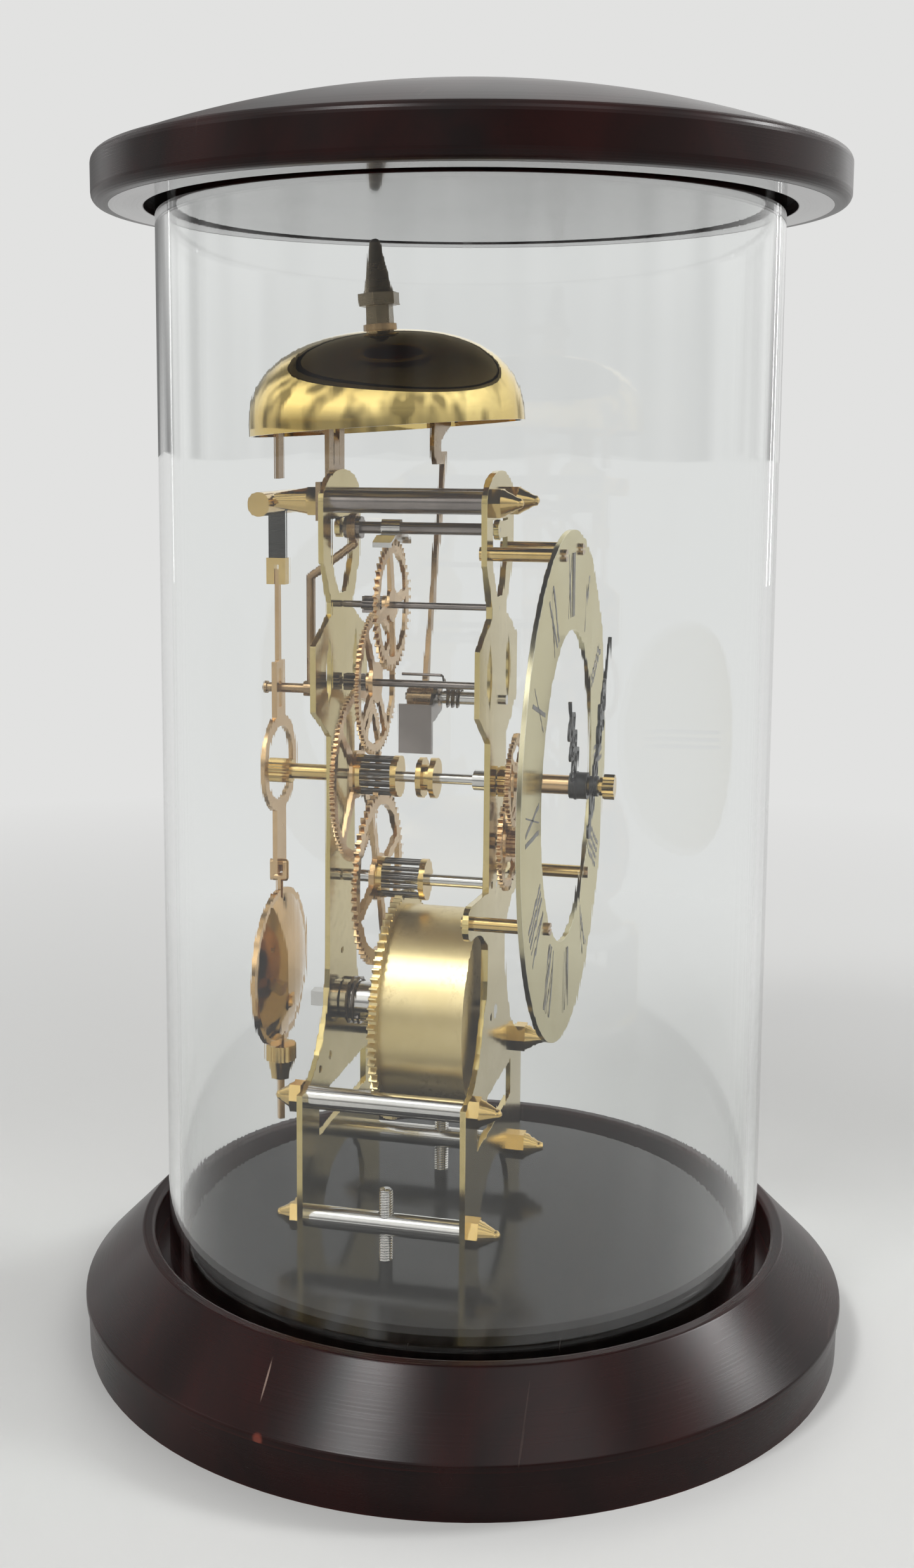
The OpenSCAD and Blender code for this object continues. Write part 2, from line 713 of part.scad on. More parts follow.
// Stamped strip: a foot under the top nuts, two legs, a tab under the bell and a guard over the bar
module bell_stand() {
    y0 = back_out;
    y1 = back_out + stand_t;
    slot_z0 = plate_top_h + 1;
    slot_z1 = plate_top_h + 15;
    guard_h = plate_top_h + 10.8;
    guard_drop = 13.5;
    bend_r = 3;
    bend_y = y1 + bend_r;
    bend_h = guard_h - bend_r - stand_t;
    guard = concat(
        [[y0, slot_z0 - 0.5], [y1, slot_z0 - 0.5]],
        arc(bend_y, bend_h, bend_r, bend_r, 180, 90, 5),
        [[pendulum_y - stand_t, guard_h - stand_t], [pendulum_y - stand_t, guard_h - guard_drop],
         [pendulum_y, guard_h - guard_drop], [pendulum_y, guard_h]],
        arc(bend_y, bend_h, bend_r + stand_t, bend_r + stand_t, 90, 180, 5));
    color("#6d5430") {
        at_height(0) slab(y0, y1) difference() {
            union() {
                translate([-stand_foot_half, top_pillar_h - 5]) square([2 * stand_foot_half, 10]);
                translate([-stand_half, top_pillar_h]) square([2 * stand_half, tab_h - top_pillar_h]);
            }
            translate([-tongue_half - 0.5, slot_z0]) square([2 * tongue_half + 1, slot_z1 - slot_z0]);
            for (side = [-1, 1]) translate([side * top_pillar_x, top_pillar_h])
                circle(d = pillar_end_d + 2 * fit_gap);
        }
        at_height(0) translate([-tongue_half, 0, 0]) rotate([90, 0, 90])
            linear_extrude(2 * tongue_half) polygon(guard);
        difference() {
            union() {
                at_height(tab_h - stand_t) translate([-stand_half, bell_y - stand_half, 0])
                    cube([2 * stand_half, y1 - bell_y + stand_half, stand_t]);
                bell_frame() translate([0, 0, -bell_t - seat_h - stand_t / 2])
                    cylinder(h = seat_h + stand_t / 2 - crown_fall, d = seat_d);
            }
            bell_frame() translate([0, 0, -bell_h]) cylinder(h = bell_h, d = finial_stud_d + 2 * fit_gap);
        }
    }
}

// Hammer

module at_hammer() {
    at_height(hammer_h) translate([hammer_x, 0, 0]) children();
}

module hammer_post() {
    color("#8f8c86") at_hammer() {
        rod(front_out - 1.2, front_in, hammer_post_d - 1);
        rod(front_in, hammer_y - 4.6, hammer_post_d);
        rod(hammer_y - 4.7, hammer_y + 5, hammer_pin_d);
    }
}

// Strip arm with its bush and the hooked head inside the bell's rim
module hammer_arm() {
    arm_w = 2.4;
    arm_t = 1.2;
    arm_end = 2.6;
    foot_t = 3.4;
    head = [[-9.9, 0], [-11.9, 2], [-12.6, 5], [-12.3, 8], [-11.5, 12.5], [6.1, 13], [7.7, 11.1],
        [6.1, 10.1], [-2.6, 7.5], [-4.9, 6.5], [-5.5, 4.9], [-5.1, foot_t], [2.3, foot_t], [1.26, 0]];
    color("#7b5a39") at_hammer() difference() {
        union() {
            rod(hammer_y - 4.3, hammer_y + 4.3, hammer_pin_d + 3);
            rotate([0, hammer_lean, 0]) slab(hammer_y - arm_t / 2, hammer_y + arm_t / 2)
                translate([-arm_w / 2, 0]) square([arm_w, hammer_len + arm_end]);
            slab(hammer_y - arm_t / 2, hammer_y + arm_t / 2)
                translate(hammer_len * [sin(hammer_lean), cos(hammer_lean)]) polygon(head);
        }
        rod(hammer_y - 6, hammer_y + 6, hammer_pin_d + 2 * run_gap);
    }
}

// Bent steel plate that hangs over the lift cam
module hammer_lever() {
    plate_x = -8.6;
    lever_t = 1;
    y0 = hammer_y - 4.3;
    collar_d = hammer_pin_d + 3 + 2 * fit_gap;
    color("#77766f") at_hammer() difference() {
        union() {
            slab(y0, y0 + lever_t) {
                circle(d = collar_d + 3);
                polygon([[-1, 4], [plate_x, -1], [plate_x, -6], [1, -4]]);
            }
            translate([plate_x, y0, -hammer_h + centre_h + cam_d / 2 + 1.6])
                cube([lever_t, 9.4, hammer_h - centre_h - cam_d / 2 - 2.6]);
        }
        rod(y0 - 1, y0 + 3, collar_d);
    }
}

// Spring wound on the post, with its tail beside the arm
module hammer_spring() {
    wire_d = 0.8;
    coil_r = hammer_post_d / 2 + free_gap + wire_d / 2;
    pitch = wire_d + 0.55;
    turns = 3;
    y0 = front_in + 10;
    y1 = y0 + turns * pitch;
    rise = 6;
    run = 11.5;
    lean = 40;
    coil = helix(coil_r, y0, pitch, turns, lean);
    tail = [coil_r * cos(lean), y1 + 0.3, coil_r * sin(lean)];
    up = [-sin(lean), 0, cos(lean)];
    path = concat(coil, [for (k = [[0.4, 0.1], [0.92, 0.2], [1, wire_d], [1, run]])
        tail + k[0] * rise * up + [0, k[1], 0]]);
    echo(str("hammer_spring least gap ", least_gap(path, wire_d)));
    color("#3a3733") at_hammer() wire(path, wire_d);
}

// Barrel

drum_wall = 1;
cover_t = 1.2;
winding_d = 6;
hub_d = 10.6;

module barrel_drum() {
    color("#b98d3e") at_height(barrel_h) difference() {
        rod(barrel_y0, barrel_y1, 2 * barrel_r, 96);
        rod(barrel_y0 - 1, barrel_y1 + 1, 2 * (barrel_r - drum_wall), 96);
    }
}

module barrel_wheel() {
    color("#c79a45") at_height(barrel_h) difference() {
        slab(barrel_y1, barrel_y1 + barrel_wheel_t) wheel_gear(barrel_teeth, slow_module, 90);
        rod(barrel_y1 - 1, barrel_y1 + barrel_wheel_t + 1, winding_d + 2 * run_gap);
    }
}

module barrel_cover() {
    color("#b98d3e") at_height(barrel_h) difference() {
        rod(barrel_y0, barrel_y0 + cover_t, 2 * (barrel_r - drum_wall - fit_gap), 96);
        rod(barrel_y0 - 1, barrel_y0 + cover_t + 1, winding_d + 2 * run_gap);
    }
}

// Coiled strip, wound on the arbor
module mainspring() {
    turns = 7;
    per_turn = 24;
    leaf_t = 0.5;
    in_r = winding_d / 2 + 0.15;
    pitch = (barrel_r - drum_wall - 5 - in_r) / turns;
    steps = turns * per_turn;
    inner = [for (i = [0 : steps]) polar(in_r + pitch * i / per_turn, 360 * i / per_turn)];
    outer = [for (i = [steps : -1 : 0]) polar(in_r + leaf_t + pitch * i / per_turn, 360 * i / per_turn)];
    color("#5d5f63") at_height(barrel_h)
        slab(barrel_y0 + cover_t + 1, barrel_y1 - 1) polygon(concat(inner, outer));
}

module winding_arbor() {
    square_w = 4;
    key_len = 7.4;
    color("#8f8c86") at_height(barrel_h) {
        rod(front_out, barrel_y0 - shaft_gap, winding_front_d);
        rod(front_in + shaft_gap, barrel_y1 + barrel_wheel_t + shaft_gap, winding_d);
        rod(barrel_y1 + barrel_wheel_t + shaft_gap, back_in - shaft_gap, hub_d);
        rod(back_in - shaft_gap - 1, back_out + 1, winding_rear_d);
        slab(back_out + 1, back_out + key_len) square(square_w, center = true);
    }
}

// Gripping spring wound round the winding hub, with its tail against the plate
module wrap_spring() {
    wire_d = 0.9;
    coil_r = hub_d / 2 + free_gap + 0.2 + wire_d / 2;
    pitch = wire_d + 0.55;
    turns = 2.5;
    tail_y = back_in - 2 * wire_d;
    start_a = 210;
    end_a = start_a + 360 * turns;
    coil = helix(coil_r, tail_y - turns * pitch, pitch, turns, start_a);
    out = [-sin(end_a), 0, cos(end_a)];
    path = concat(coil, [for (k = [[1.2, 0.2], [1.8, wire_d], [1.8, 2 * wire_d]])
        coil[len(coil) - 1] + k[0] * out + [0, k[1], 0]]);
    echo(str("wrap_spring least gap ", least_gap(path, wire_d)));
    color("#23211f") at_height(barrel_h) wire(path, wire_d);
}

// Going train

slow_phase = 270 + 180 / slow_leaves;
fast_phase = 270 + 180 / fast_leaves;
second_d = 3.3;
third_d = 2;
escape_d = 1.8;

// Arbor with thinner pivots that turn in the plates
module pivoted_arbor(d, end_d) {
    rod(front_in + shaft_gap, back_in - shaft_gap, d);
    rod(front_out, back_out, end_d);
}

module second_arbor() {
    color("#8f8c86") at_height(second_h) pivoted_arbor(second_d, shared_pivots[0][1]);
}

module second_wheel() {
    color("#b08046") at_height(second_h) slab(second_wheel_y, second_wheel_y + wheel_t) difference() {
        wheel_gear(second_teeth, slow_module, 90);
        spoke_gaps(4, 6.5, second_teeth * slow_module / 2 - 3.4, 1.3, 20);
        circle(d = second_d + 2 * fit_gap);
    }
}

module second_pinion() {
    color("#a8823e") at_height(second_h)
        lantern(second_pinion_y0, second_wheel_y, slow_leaves, slow_module, second_d + 2 * fit_gap,
            slow_phase);
}

module centre_arbor() {
    color("#8f8c86") at_height(centre_h) {
        rod(minute_hand_y - 5.2, back_out + 13, centre_d);
        rod(front_in + shaft_gap, front_in + 5, centre_d + 2.6);
    }
}

module centre_wheel() {
    color("#b08046") at_height(centre_h) slab(centre_wheel_y, centre_wheel_y + fine_t) difference() {
        wheel_gear(centre_teeth, fast_module, 90);
        spoke_gaps(4, 6.5, centre_teeth * fast_module / 2 - 2.6, 1.3, 50);
        circle(d = centre_d + 2 * fit_gap);
    }
}

module centre_pinion() {
    color("#a8823e") at_height(centre_h)
        lantern(centre_pinion_y0, centre_wheel_y, slow_leaves, slow_module, centre_d + 2 * fit_gap,
            slow_phase);
}

// Brass collar with a waist between two discs, below the hammer's lever
module lift_cam() {
    waist_d = 7;
    disc_t = 1.5;
    color("#a8823e") at_height(centre_h) difference() {
        union() {
            rod(cam_y, cam_y + disc_t, cam_d);
            rod(cam_y, cam_y + cam_len, waist_d);
            rod(cam_y + cam_len - disc_t, cam_y + cam_len, cam_d);
        }
        rod(cam_y - 1, cam_y + cam_len + 1, centre_d + 2 * fit_gap);
    }
}

module setting_knob() {
    sleeve_d = 4.3;
    grip_d = 6.6;
    color("#c9a04a") at_height(centre_h) difference() {
        union() {
            rod(back_out + shaft_gap, back_out + 13.5, sleeve_d);
            knurled(back_out + 13, back_out + 19.5, grip_d, 22);
        }
        rod(back_out - 1, back_out + 13.1, centre_d + 2 * fit_gap);
    }
}

module third_arbor() {
    color("#6f6a62") at_height(third_h) {
        pivoted_arbor(third_d, pivot_d);
        slab(third_wheel_y + fine_t + 2, back_in - 0.6)
            pinion_gear(fast_leaves, fast_module, fast_phase);
    }
}

module third_wheel() {
    hub = 5.4;
    color("#b08046") at_height(third_h) difference() {
        union() {
            slab(third_wheel_y, third_wheel_y + fine_t) difference() {
                wheel_gear(third_teeth, fast_module, 90);
                spoke_gaps(4, 5.5, third_teeth * fast_module / 2 - 2.4, 1.2, 35);
            }
            rod(third_wheel_y, third_wheel_y + fine_t + 1.6, hub);
        }
        rod(third_wheel_y - 1, third_wheel_y + 4, third_d + 2 * fit_gap);
    }
}

module escape_arbor() {
    color("#6f6a62") at_height(escape_h) {
        pivoted_arbor(escape_d, pivot_d);
        slab(third_wheel_y - 1.6, third_wheel_y + fine_t + 3)
            pinion_gear(fast_leaves, fast_module, fast_phase);
    }
}

// Escape wheel with hooked teeth
module escape_wheel() {
    hub = 5;
    depth = 1.7;
    step = 360 / escape_teeth;
    color("#b58a4e") at_height(escape_h) difference() {
        union() {
            slab(escape_wheel_y, escape_wheel_y + fine_t) difference() {
                polygon([for (i = [0 : escape_teeth - 1])
                    for (k = [[-depth, 0], [0, 0.3], [0, 0.42], [-depth, 0.62]])
                        polar(escape_r + k[0], (i + k[1]) * step)]);
                spoke_gaps(4, 4.6, escape_r - depth - 2, 1.2, 10);
            }
            rod(escape_wheel_y, escape_wheel_y + fine_t + 1.6, hub);
        }
        rod(escape_wheel_y - 1, escape_wheel_y + 4, escape_d + 2 * fit_gap);
    }
}

// Anchor and crutch

anchor_d = 3.2;
collet_d = 5.9;
collet_y = back_in - 5.4;
collet_len = 4.4;

module anchor_arbor() {
    color("#77736b") at_height(anchor_h) {
        pivoted_arbor(anchor_d, pivot_d);
        rod(collet_y, collet_y + collet_len, collet_d);
    }
}

// Bent steel strip over the escape wheel
module pallets() {
    strip = 0.7;
    reach = 9.6;
    top = -1.65;
    fall = 4.6;
    edge = [[reach + 0.7, -fall], [reach + 0.7, -fall + 1.3], [reach - 3.4, top]];
    under = [[reach - 3.2, top - strip], [reach, -fall + 1], [reach, -fall]];
    saddle_d = 4.6;
    y0 = escape_wheel_y - 2;
    y1 = escape_wheel_y + fine_t + 2;
    color("#a5a39c") at_height(anchor_h) difference() {
        union() {
            slab(y0, y1) polygon(concat(edge, mirrored(edge), mirrored(under), under));
            rod(y0, y1, saddle_d);
        }
        rod(y0 - 1, y1 + 1, anchor_d + 2 * fit_gap);
    }
}

// Wire from the collet, through the plate's opening and down to the pin in the pendulum's slot
module crutch() {
    bend_h = swing_h - crutch_bend_drop;
    eye_y = collet_y + collet_len / 2;
    eye_wall = 0.8;
    start = anchor_h - collet_d / 2 - eye_wall / 2 - crutch_d / 2;
    legs = [[eye_y, start], [crutch_back_y, bend_h], [crutch_back_y, crutch_pin_h]];
    color("#8a6237") {
        for (i = [0 : len(legs) - 2]) {
            d = legs[i + 1] - legs[i];
            translate([0, legs[i][0], floor_z + legs[i][1]]) {
                rotate([atan2(d[1], d[0]) - 90, 0, 0]) cylinder(h = norm(d), d = crutch_d, $fn = 24);
                sphere(d = crutch_d, $fn = 24);
            }
        }
        at_height(crutch_pin_h) {
            rod(crutch_back_y - crutch_d / 2, pendulum_y + 4, crutch_pin_d);
            rod(crutch_back_y - crutch_d / 2, crutch_back_y + crutch_d / 2 + 0.6, crutch_pin_d + 1.6);
            rod(pendulum_y + 3, pendulum_y + 4, crutch_pin_d + 0.8);
        }
        at_height(anchor_h) difference() {
            rod(eye_y - 1, eye_y + 1, collet_d + 2 * eye_wall);
            rod(eye_y - 2, eye_y + 2, collet_d + 2 * fit_gap);
        }
    }
}

// Pendulum

spigot_d = 2.4;
leaf_w = 4.9;
leaf_t = 0.4;
swing_angle = 4;
block_h = swing_h - 8.5;
hook_h = swing_h - 14.2;
leaf_top = bar_h + 1.4;

module suspension_bar() {
    slot = leaf_t + 2 * (leaf_top - swing_h) * tan(swing_angle) + 2 * free_gap;
    slot_top = leaf_top - bar_h + free_gap;
    color("#b78f45") at_height(bar_h) difference() {
        translate([-bar_len / 2, pendulum_y, 0]) rotate([0, 90, 0]) cylinder(h = bar_len, d = bar_d);
        translate([-slot / 2, pendulum_y - bar_d, -bar_d]) cube([slot, 2 * bar_d, bar_d + slot_top]);
        both_sides(top_pillar_x) translate([0, 0, top_pillar_h - bar_h])
            rod(pendulum_y - bar_d, pendulum_y + fit_gap, spigot_d + 2 * fit_gap);
    }
}

module suspension_spring() {
    color("#3b3d40") at_height(block_h) translate([-leaf_t / 2, pendulum_y - leaf_w / 2, 0])
        cube([leaf_t, leaf_w, leaf_top - block_h]);
}

// Brass foot of the spring, with the notch that the strip hangs in
module spring_block() {
    block_w = 3.4;
    block_deep = leaf_w + 0.6;
    below = 1.4;
    block_tall = block_h - hook_h + below;
    notch_t = strip_t + 2 * fit_gap;
    color("#b99a4c") at_height(hook_h - below) difference() {
        translate([-block_w / 2, pendulum_y - block_deep / 2, 0]) cube([block_w, block_deep, block_tall]);
        translate([-block_w, pendulum_y - notch_t / 2, -1]) cube([2 * block_w, notch_t, block_tall - 0.8]);
    }
}

module pendulum_strip() {
    stem_w = 2.4;
    slot_top = crutch_pin_h + slot_len / 2;
    slot_foot = crutch_pin_h - slot_len / 2;
    foot_h = eye_h - 2.4;
    eye_d = rod_d + 2 * fit_gap;
    color("#b08a55") at_height(0) slab(pendulum_y - strip_t / 2, pendulum_y + strip_t / 2) difference() {
        union() {
            translate([-stem_w / 2, slot_top]) square([stem_w, hook_h + 2.6 - slot_top]);
            translate([-strip_w / 2, slot_foot - 2]) square([strip_w, slot_len + 4]);
            translate([-strip_w / 2, foot_h]) square([strip_w, slot_foot - foot_h]);
            translate([0, ring_h]) circle(d = ring_d, $fn = 96);
        }
        translate([0, ring_h]) circle(d = ring_bore, $fn = 96);
        translate([-slot_w / 2, slot_foot]) square([slot_w, slot_len]);
        translate([0, eye_h]) circle(d = eye_d);
    }
}

// Threaded rod that hooks into the strip and carries the bob
module bob_rod() {
    hook_y = strip_t / 2 + rod_d / 2 + fit_gap;
    hook_drop = 4;
    foot = bob_h - bob_d / 2 - 22;
    color("#b08a55") translate([0, pendulum_y, floor_z]) {
        for (h = [eye_h, eye_h - hook_drop]) translate([0, 0, h]) {
            rod(-hook_y, hook_y, rod_d);
            for (side = [-1, 1]) translate([0, side * hook_y, 0]) sphere(d = rod_d);
        }
        for (side = [-1, 1]) translate([0, side * hook_y, eye_h - hook_drop])
            cylinder(h = hook_drop, d = rod_d);
        translate([0, 0, foot]) cylinder(h = eye_h - hook_drop - foot, d = rod_d);
    }
}

module pendulum_bob() {
    rim_t = 1.4;
    dome_r = (bob_d * bob_d + bob_t * bob_t) / (4 * bob_t);
    color("#a8764a") translate([0, pendulum_y, floor_z + bob_h]) difference() {
        union() {
            intersection() {
                translate([0, dome_r - bob_t / 2, 0]) sphere(r = dome_r, $fn = 128);
                translate([0, bob_t / 2 - dome_r, 0]) sphere(r = dome_r, $fn = 128);
            }
            rod(-rim_t / 2, rim_t / 2, bob_d, 128);
        }
        translate([0, 0, -bob_d]) cylinder(h = 2 * bob_d, d = rod_d + 2 * free_gap);
    }
}

module rating_nut() {
    grip_d = 8.8;
    grip_h = 4.4;
    tail_h = 5.4;
    ridges = 24;
    top = bob_h - bob_d / 2 - free_gap;
    color("#a98a4a") translate([0, pendulum_y, floor_z + top - grip_h - tail_h]) difference() {
        union() {
            translate([0, 0, tail_h]) linear_extrude(grip_h) ridged(grip_d, ridges);
            cylinder(h = tail_h + 0.1, d1 = 5, d2 = 7.6);
        }
        translate([0, 0, -1]) cylinder(h = grip_h + tail_h + 2, d = rod_d + 2 * run_gap);
    }
}

// Motion work

minute_post_d = 2.4;

module cannon_pinion() {
    color("#c9a04a") at_height(centre_h) difference() {
        union() {
            slab(cannon_y0 - cannon_len, cannon_y0)
                pinion_gear(cannon_leaves, motion_module, 270 + 180 / cannon_leaves);
            rod(minute_hand_y - 2, cannon_y0, pipe_d);
        }
        rod(minute_hand_y - 3, cannon_y0 + 1, centre_d + 2 * fit_gap);
    }
}

module minute_wheel() {
    color("#b08046") at_height(minute_h) difference() {
        union() {
            slab(minute_wheel_y - fine_t, minute_wheel_y) difference() {
                wheel_gear(minute_teeth, motion_module, 90);
                spoke_gaps(4, 5.4, minute_teeth * motion_module / 2 - 2.2, 1.1, 45);
            }
            slab(hour_wheel_y - fine_t - 0.8, minute_wheel_y)
                pinion_gear(minute_leaves, hour_module, 90 + 180 / minute_leaves);
            rod(minute_wheel_y - 0.1, front_out - free_gap, minute_post_d + 2);
        }
        rod(hour_wheel_y - 6, front_out + 1, minute_post_d + 2 * run_gap);
    }
}

module minute_post() {
    color("#8f8c86") at_height(minute_h) {
        rod(hour_wheel_y - fine_t - 1.3, front_in + 0.8, minute_post_d);
        rod(front_in, front_in + 0.8, minute_post_d + 1.4);
        rod(hour_wheel_y - fine_t - 2, hour_wheel_y - fine_t - 1.2, minute_post_d + 1.2);
    }
}

module hour_wheel() {
    color("#b08046") at_height(centre_h) difference() {
        union() {
            slab(hour_wheel_y - fine_t, hour_wheel_y) wheel_gear(hour_teeth, hour_module, 90);
            rod(hour_hand_y - 3, hour_wheel_y, tube_d);
        }
        rod(hour_hand_y - 5, hour_wheel_y + 1, pipe_d + 2 * run_gap);
        slab(hour_wheel_y - fine_t - 0.5, hour_wheel_y + 0.5)
            spoke_gaps(4, 5.4, hour_teeth * hour_module / 2 - 2.2, 1.1, 45);
    }
}

// Serpentine hand, standing upright from its hub, with paired scrolls between the rings
module hand_outline(len, hub_r, w) {
    ring_r = len * 0.075;
    tip_w = w * 0.35;
    first = len * 0.34;
    second = len * 0.56;
    scroll = (first + second) / 2;
    difference() {
        union() {
            circle(r = hub_r);
            polygon([[-w / 2, 0], [w / 2, 0], [w / 2, first], [-w / 2, first]]);
            for (h = [first, second]) translate([0, h]) circle(r = ring_r);
            translate([-w * 0.4, first]) square([w * 0.8, second - first]);
            for (side = [-1, 1]) translate([side * ring_r * 0.85, scroll]) circle(r = ring_r * 0.7);
            polygon([[-w * 0.6, second], [w * 0.6, second], [tip_w / 2, len], [-tip_w / 2, len]]);
        }
        for (h = [first, second]) translate([0, h]) circle(r = ring_r - w * 0.42);
        for (side = [-1, 1]) translate([side * ring_r, scroll]) circle(r = ring_r * 0.34);
    }
}

module hour_hand() {
    hub = tube_d + 2;
    color("#121212") at_height(centre_h) difference() {
        union() {
            rotate([0, hour_at, 0]) slab(hour_hand_y - hand_t, hour_hand_y)
                hand_outline(hour_len, 3.8, 1.8);
            rod(hour_hand_y - 3.4, hour_hand_y + 1.2, hub);
        }
        rod(hour_hand_y - 5, hour_hand_y + 5, tube_d + 2 * fit_gap);
    }
}

module minute_hand() {
    tail = 13;
    tail_w = 2.2;
    color("#121212") at_height(centre_h) difference() {
        union() {
            rotate([0, minute_at, 0]) slab(minute_hand_y - hand_t, minute_hand_y) {
                hand_outline(minute_len, 3.2, 1.7);
                translate([-tail_w / 2, -tail]) square([tail_w, tail]);
                translate([0, -tail]) circle(r = tail_w * 0.9);
            }
            rod(minute_hand_y - 1.6, minute_hand_y + 0.7, 5.4);
        }
        rod(minute_hand_y - 4, minute_hand_y + 4, pipe_d + 2 * fit_gap);
    }
}

module hand_nut() {
    color("#c9a04a") at_height(centre_h) difference() {
        union() {
            rod(minute_hand_y - 3.2, minute_hand_y - 2 - fit_gap, 5);
            knurled(minute_hand_y - 6, minute_hand_y - 3.1, 6.6, 18);
        }
        rod(minute_hand_y - 5.3, minute_hand_y, centre_d + 2 * fit_gap);
    }
}

// Dial

dial_rivet_d = 2.4;
screw_d = 1.6;
screw_head_d = 3.2;

// Each dial pillar's place on the front plate
module dial_places() {
    both_sides(dial_top_x) at_height(dial_top_h) children();
    both_sides(dial_low_x) at_height(dial_low_h) children();
}

module dial_ring() {
    color("#d9cfae") difference() {
        at_height(centre_h) slab(dial_front, dial_back) difference() {
            circle(d = dial_d, $fn = 128);
            circle(d = dial_bore, $fn = 128);
        }
        dial_places() rod(dial_front - 1, dial_back + 1, screw_d + 2 * fit_gap);
    }
}

module dial_pillars() {
    color("#c9a04a") dial_places() difference() {
        union() {
            rod(dial_back, front_out, dial_pillar_d);
            rod(front_out - 1, front_in + 1, dial_rivet_d);
            rod(front_in, front_in + 1, dial_rivet_d + 1.2);
        }
        rod(dial_back - 1, dial_back + 5, screw_d + 2 * fit_gap);
    }
}

module dial_screws() {
    head_t = 0.9;
    color("#6b5a34") dial_places() difference() {
        union() {
            rod(dial_front - head_t, dial_front, screw_head_d);
            rod(dial_front, dial_back + 4, screw_d);
        }
        translate([-screw_head_d, dial_front - head_t - 0.6, -0.3]) cube([2 * screw_head_d, 1, 0.6]);
    }
}

base_moulding();
floor_board();
glass_cylinder();
lid();
back_plate();
front_plate();
lower_pillars();
middle_pillars();
top_pillars();
front_pillar_nuts();
rear_pillar_nuts();
base_studs();
stud_washers();
stud_nuts();
bell();
bell_stand();
bell_washer();
bell_finial();
hammer_post();
hammer_arm();
hammer_lever();
hammer_spring();
barrel_drum();
barrel_wheel();
barrel_cover();
mainspring();
winding_arbor();
wrap_spring();
second_arbor();
second_wheel();
second_pinion();
centre_arbor();
centre_wheel();
centre_pinion();
lift_cam();
setting_knob();
third_arbor();
third_wheel();
escape_arbor();
escape_wheel();
anchor_arbor();
pallets();
crutch();
suspension_bar();
suspension_spring();
spring_block();
pendulum_strip();
bob_rod();
pendulum_bob();
rating_nut();
cannon_pinion();
minute_wheel();
minute_post();
hour_wheel();
hour_hand();
minute_hand();
hand_nut();
dial_ring();
dial_pillars();
dial_screws();
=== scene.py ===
import bpy
import math
from mathutils import Matrix, Vector


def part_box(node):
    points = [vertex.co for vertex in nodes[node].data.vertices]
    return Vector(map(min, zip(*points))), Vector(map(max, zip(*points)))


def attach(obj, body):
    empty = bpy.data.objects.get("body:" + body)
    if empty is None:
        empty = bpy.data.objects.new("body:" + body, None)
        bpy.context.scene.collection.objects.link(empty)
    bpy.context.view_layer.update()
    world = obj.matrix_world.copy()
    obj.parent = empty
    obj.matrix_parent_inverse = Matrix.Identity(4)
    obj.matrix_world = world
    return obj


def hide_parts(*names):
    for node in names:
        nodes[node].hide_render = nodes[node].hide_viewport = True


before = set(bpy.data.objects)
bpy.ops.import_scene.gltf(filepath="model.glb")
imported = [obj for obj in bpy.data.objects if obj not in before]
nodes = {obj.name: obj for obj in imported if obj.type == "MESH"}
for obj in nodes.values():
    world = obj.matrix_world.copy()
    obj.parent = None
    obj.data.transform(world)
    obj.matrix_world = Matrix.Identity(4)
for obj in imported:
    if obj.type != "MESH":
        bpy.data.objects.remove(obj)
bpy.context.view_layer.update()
mm = 0.001
scene = bpy.context.scene
scene.view_settings.view_transform = "Standard"
print("frame loaded,", len(nodes), "nodes")

# camera at the photo's viewing angle
viewpoint = {
    "place": (-0.47356, -0.10646, 0.24230),
    "looksAlong": (0.9602, 0.2436, -0.1369),
    "rollDegrees": -0.230,
    "sensor": 36,
    "lens": 42.32,
    "shift": (0.0263, -0.0623),
}


def makeCamera(look):
    data = bpy.data.cameras.new("photoView")
    data.sensor_width = look["sensor"]
    data.lens = look["lens"]
    data.shift_x, data.shift_y = look["shift"]
    data.clip_start = 0.01
    camera = bpy.data.objects.new("photoView", data)
    scene.collection.objects.link(camera)
    forward = Vector(look["looksAlong"]).normalized()
    right = forward.cross(Vector((0, 0, 1))).normalized()
    up = right.cross(forward)
    roll = Matrix.Rotation(math.radians(look["rollDegrees"]), 3, forward)
    turn = Matrix((roll @ right, roll @ up, -forward)).transposed()
    camera.matrix_world = Matrix.Translation(look["place"]) @ turn.to_4x4()
    scene.camera = camera


makeCamera(viewpoint)
print("camera set")


# small helpers for shader trees; a socket given as a value is linked, anything else is set
def addNode(tree, kind, inputs=None, **settings):
    node = tree.nodes.new(kind)
    for key, value in settings.items():
        setattr(node, key, value)
    for key, value in (inputs or {}).items():
        if isinstance(value, bpy.types.NodeSocket):
            tree.links.new(value, node.inputs[key])
        else:
            node.inputs[key].default_value = value
    return node


def startFinish(name):
    material = bpy.data.materials.new(name)
    material.use_nodes = True
    tree = material.node_tree
    return material, tree, tree.nodes["Principled BSDF"]


def rowPoint(tree, scale=(1, 1, 1), turn=(0, 0, 0), offset=(0, 0, 0)):
    coords = addNode(tree, "ShaderNodeTexCoord").outputs["Object"]
    spot = {"Vector": coords, "Scale": scale, "Rotation": turn, "Location": offset}
    return addNode(tree, "ShaderNodeMapping", spot).outputs["Vector"]


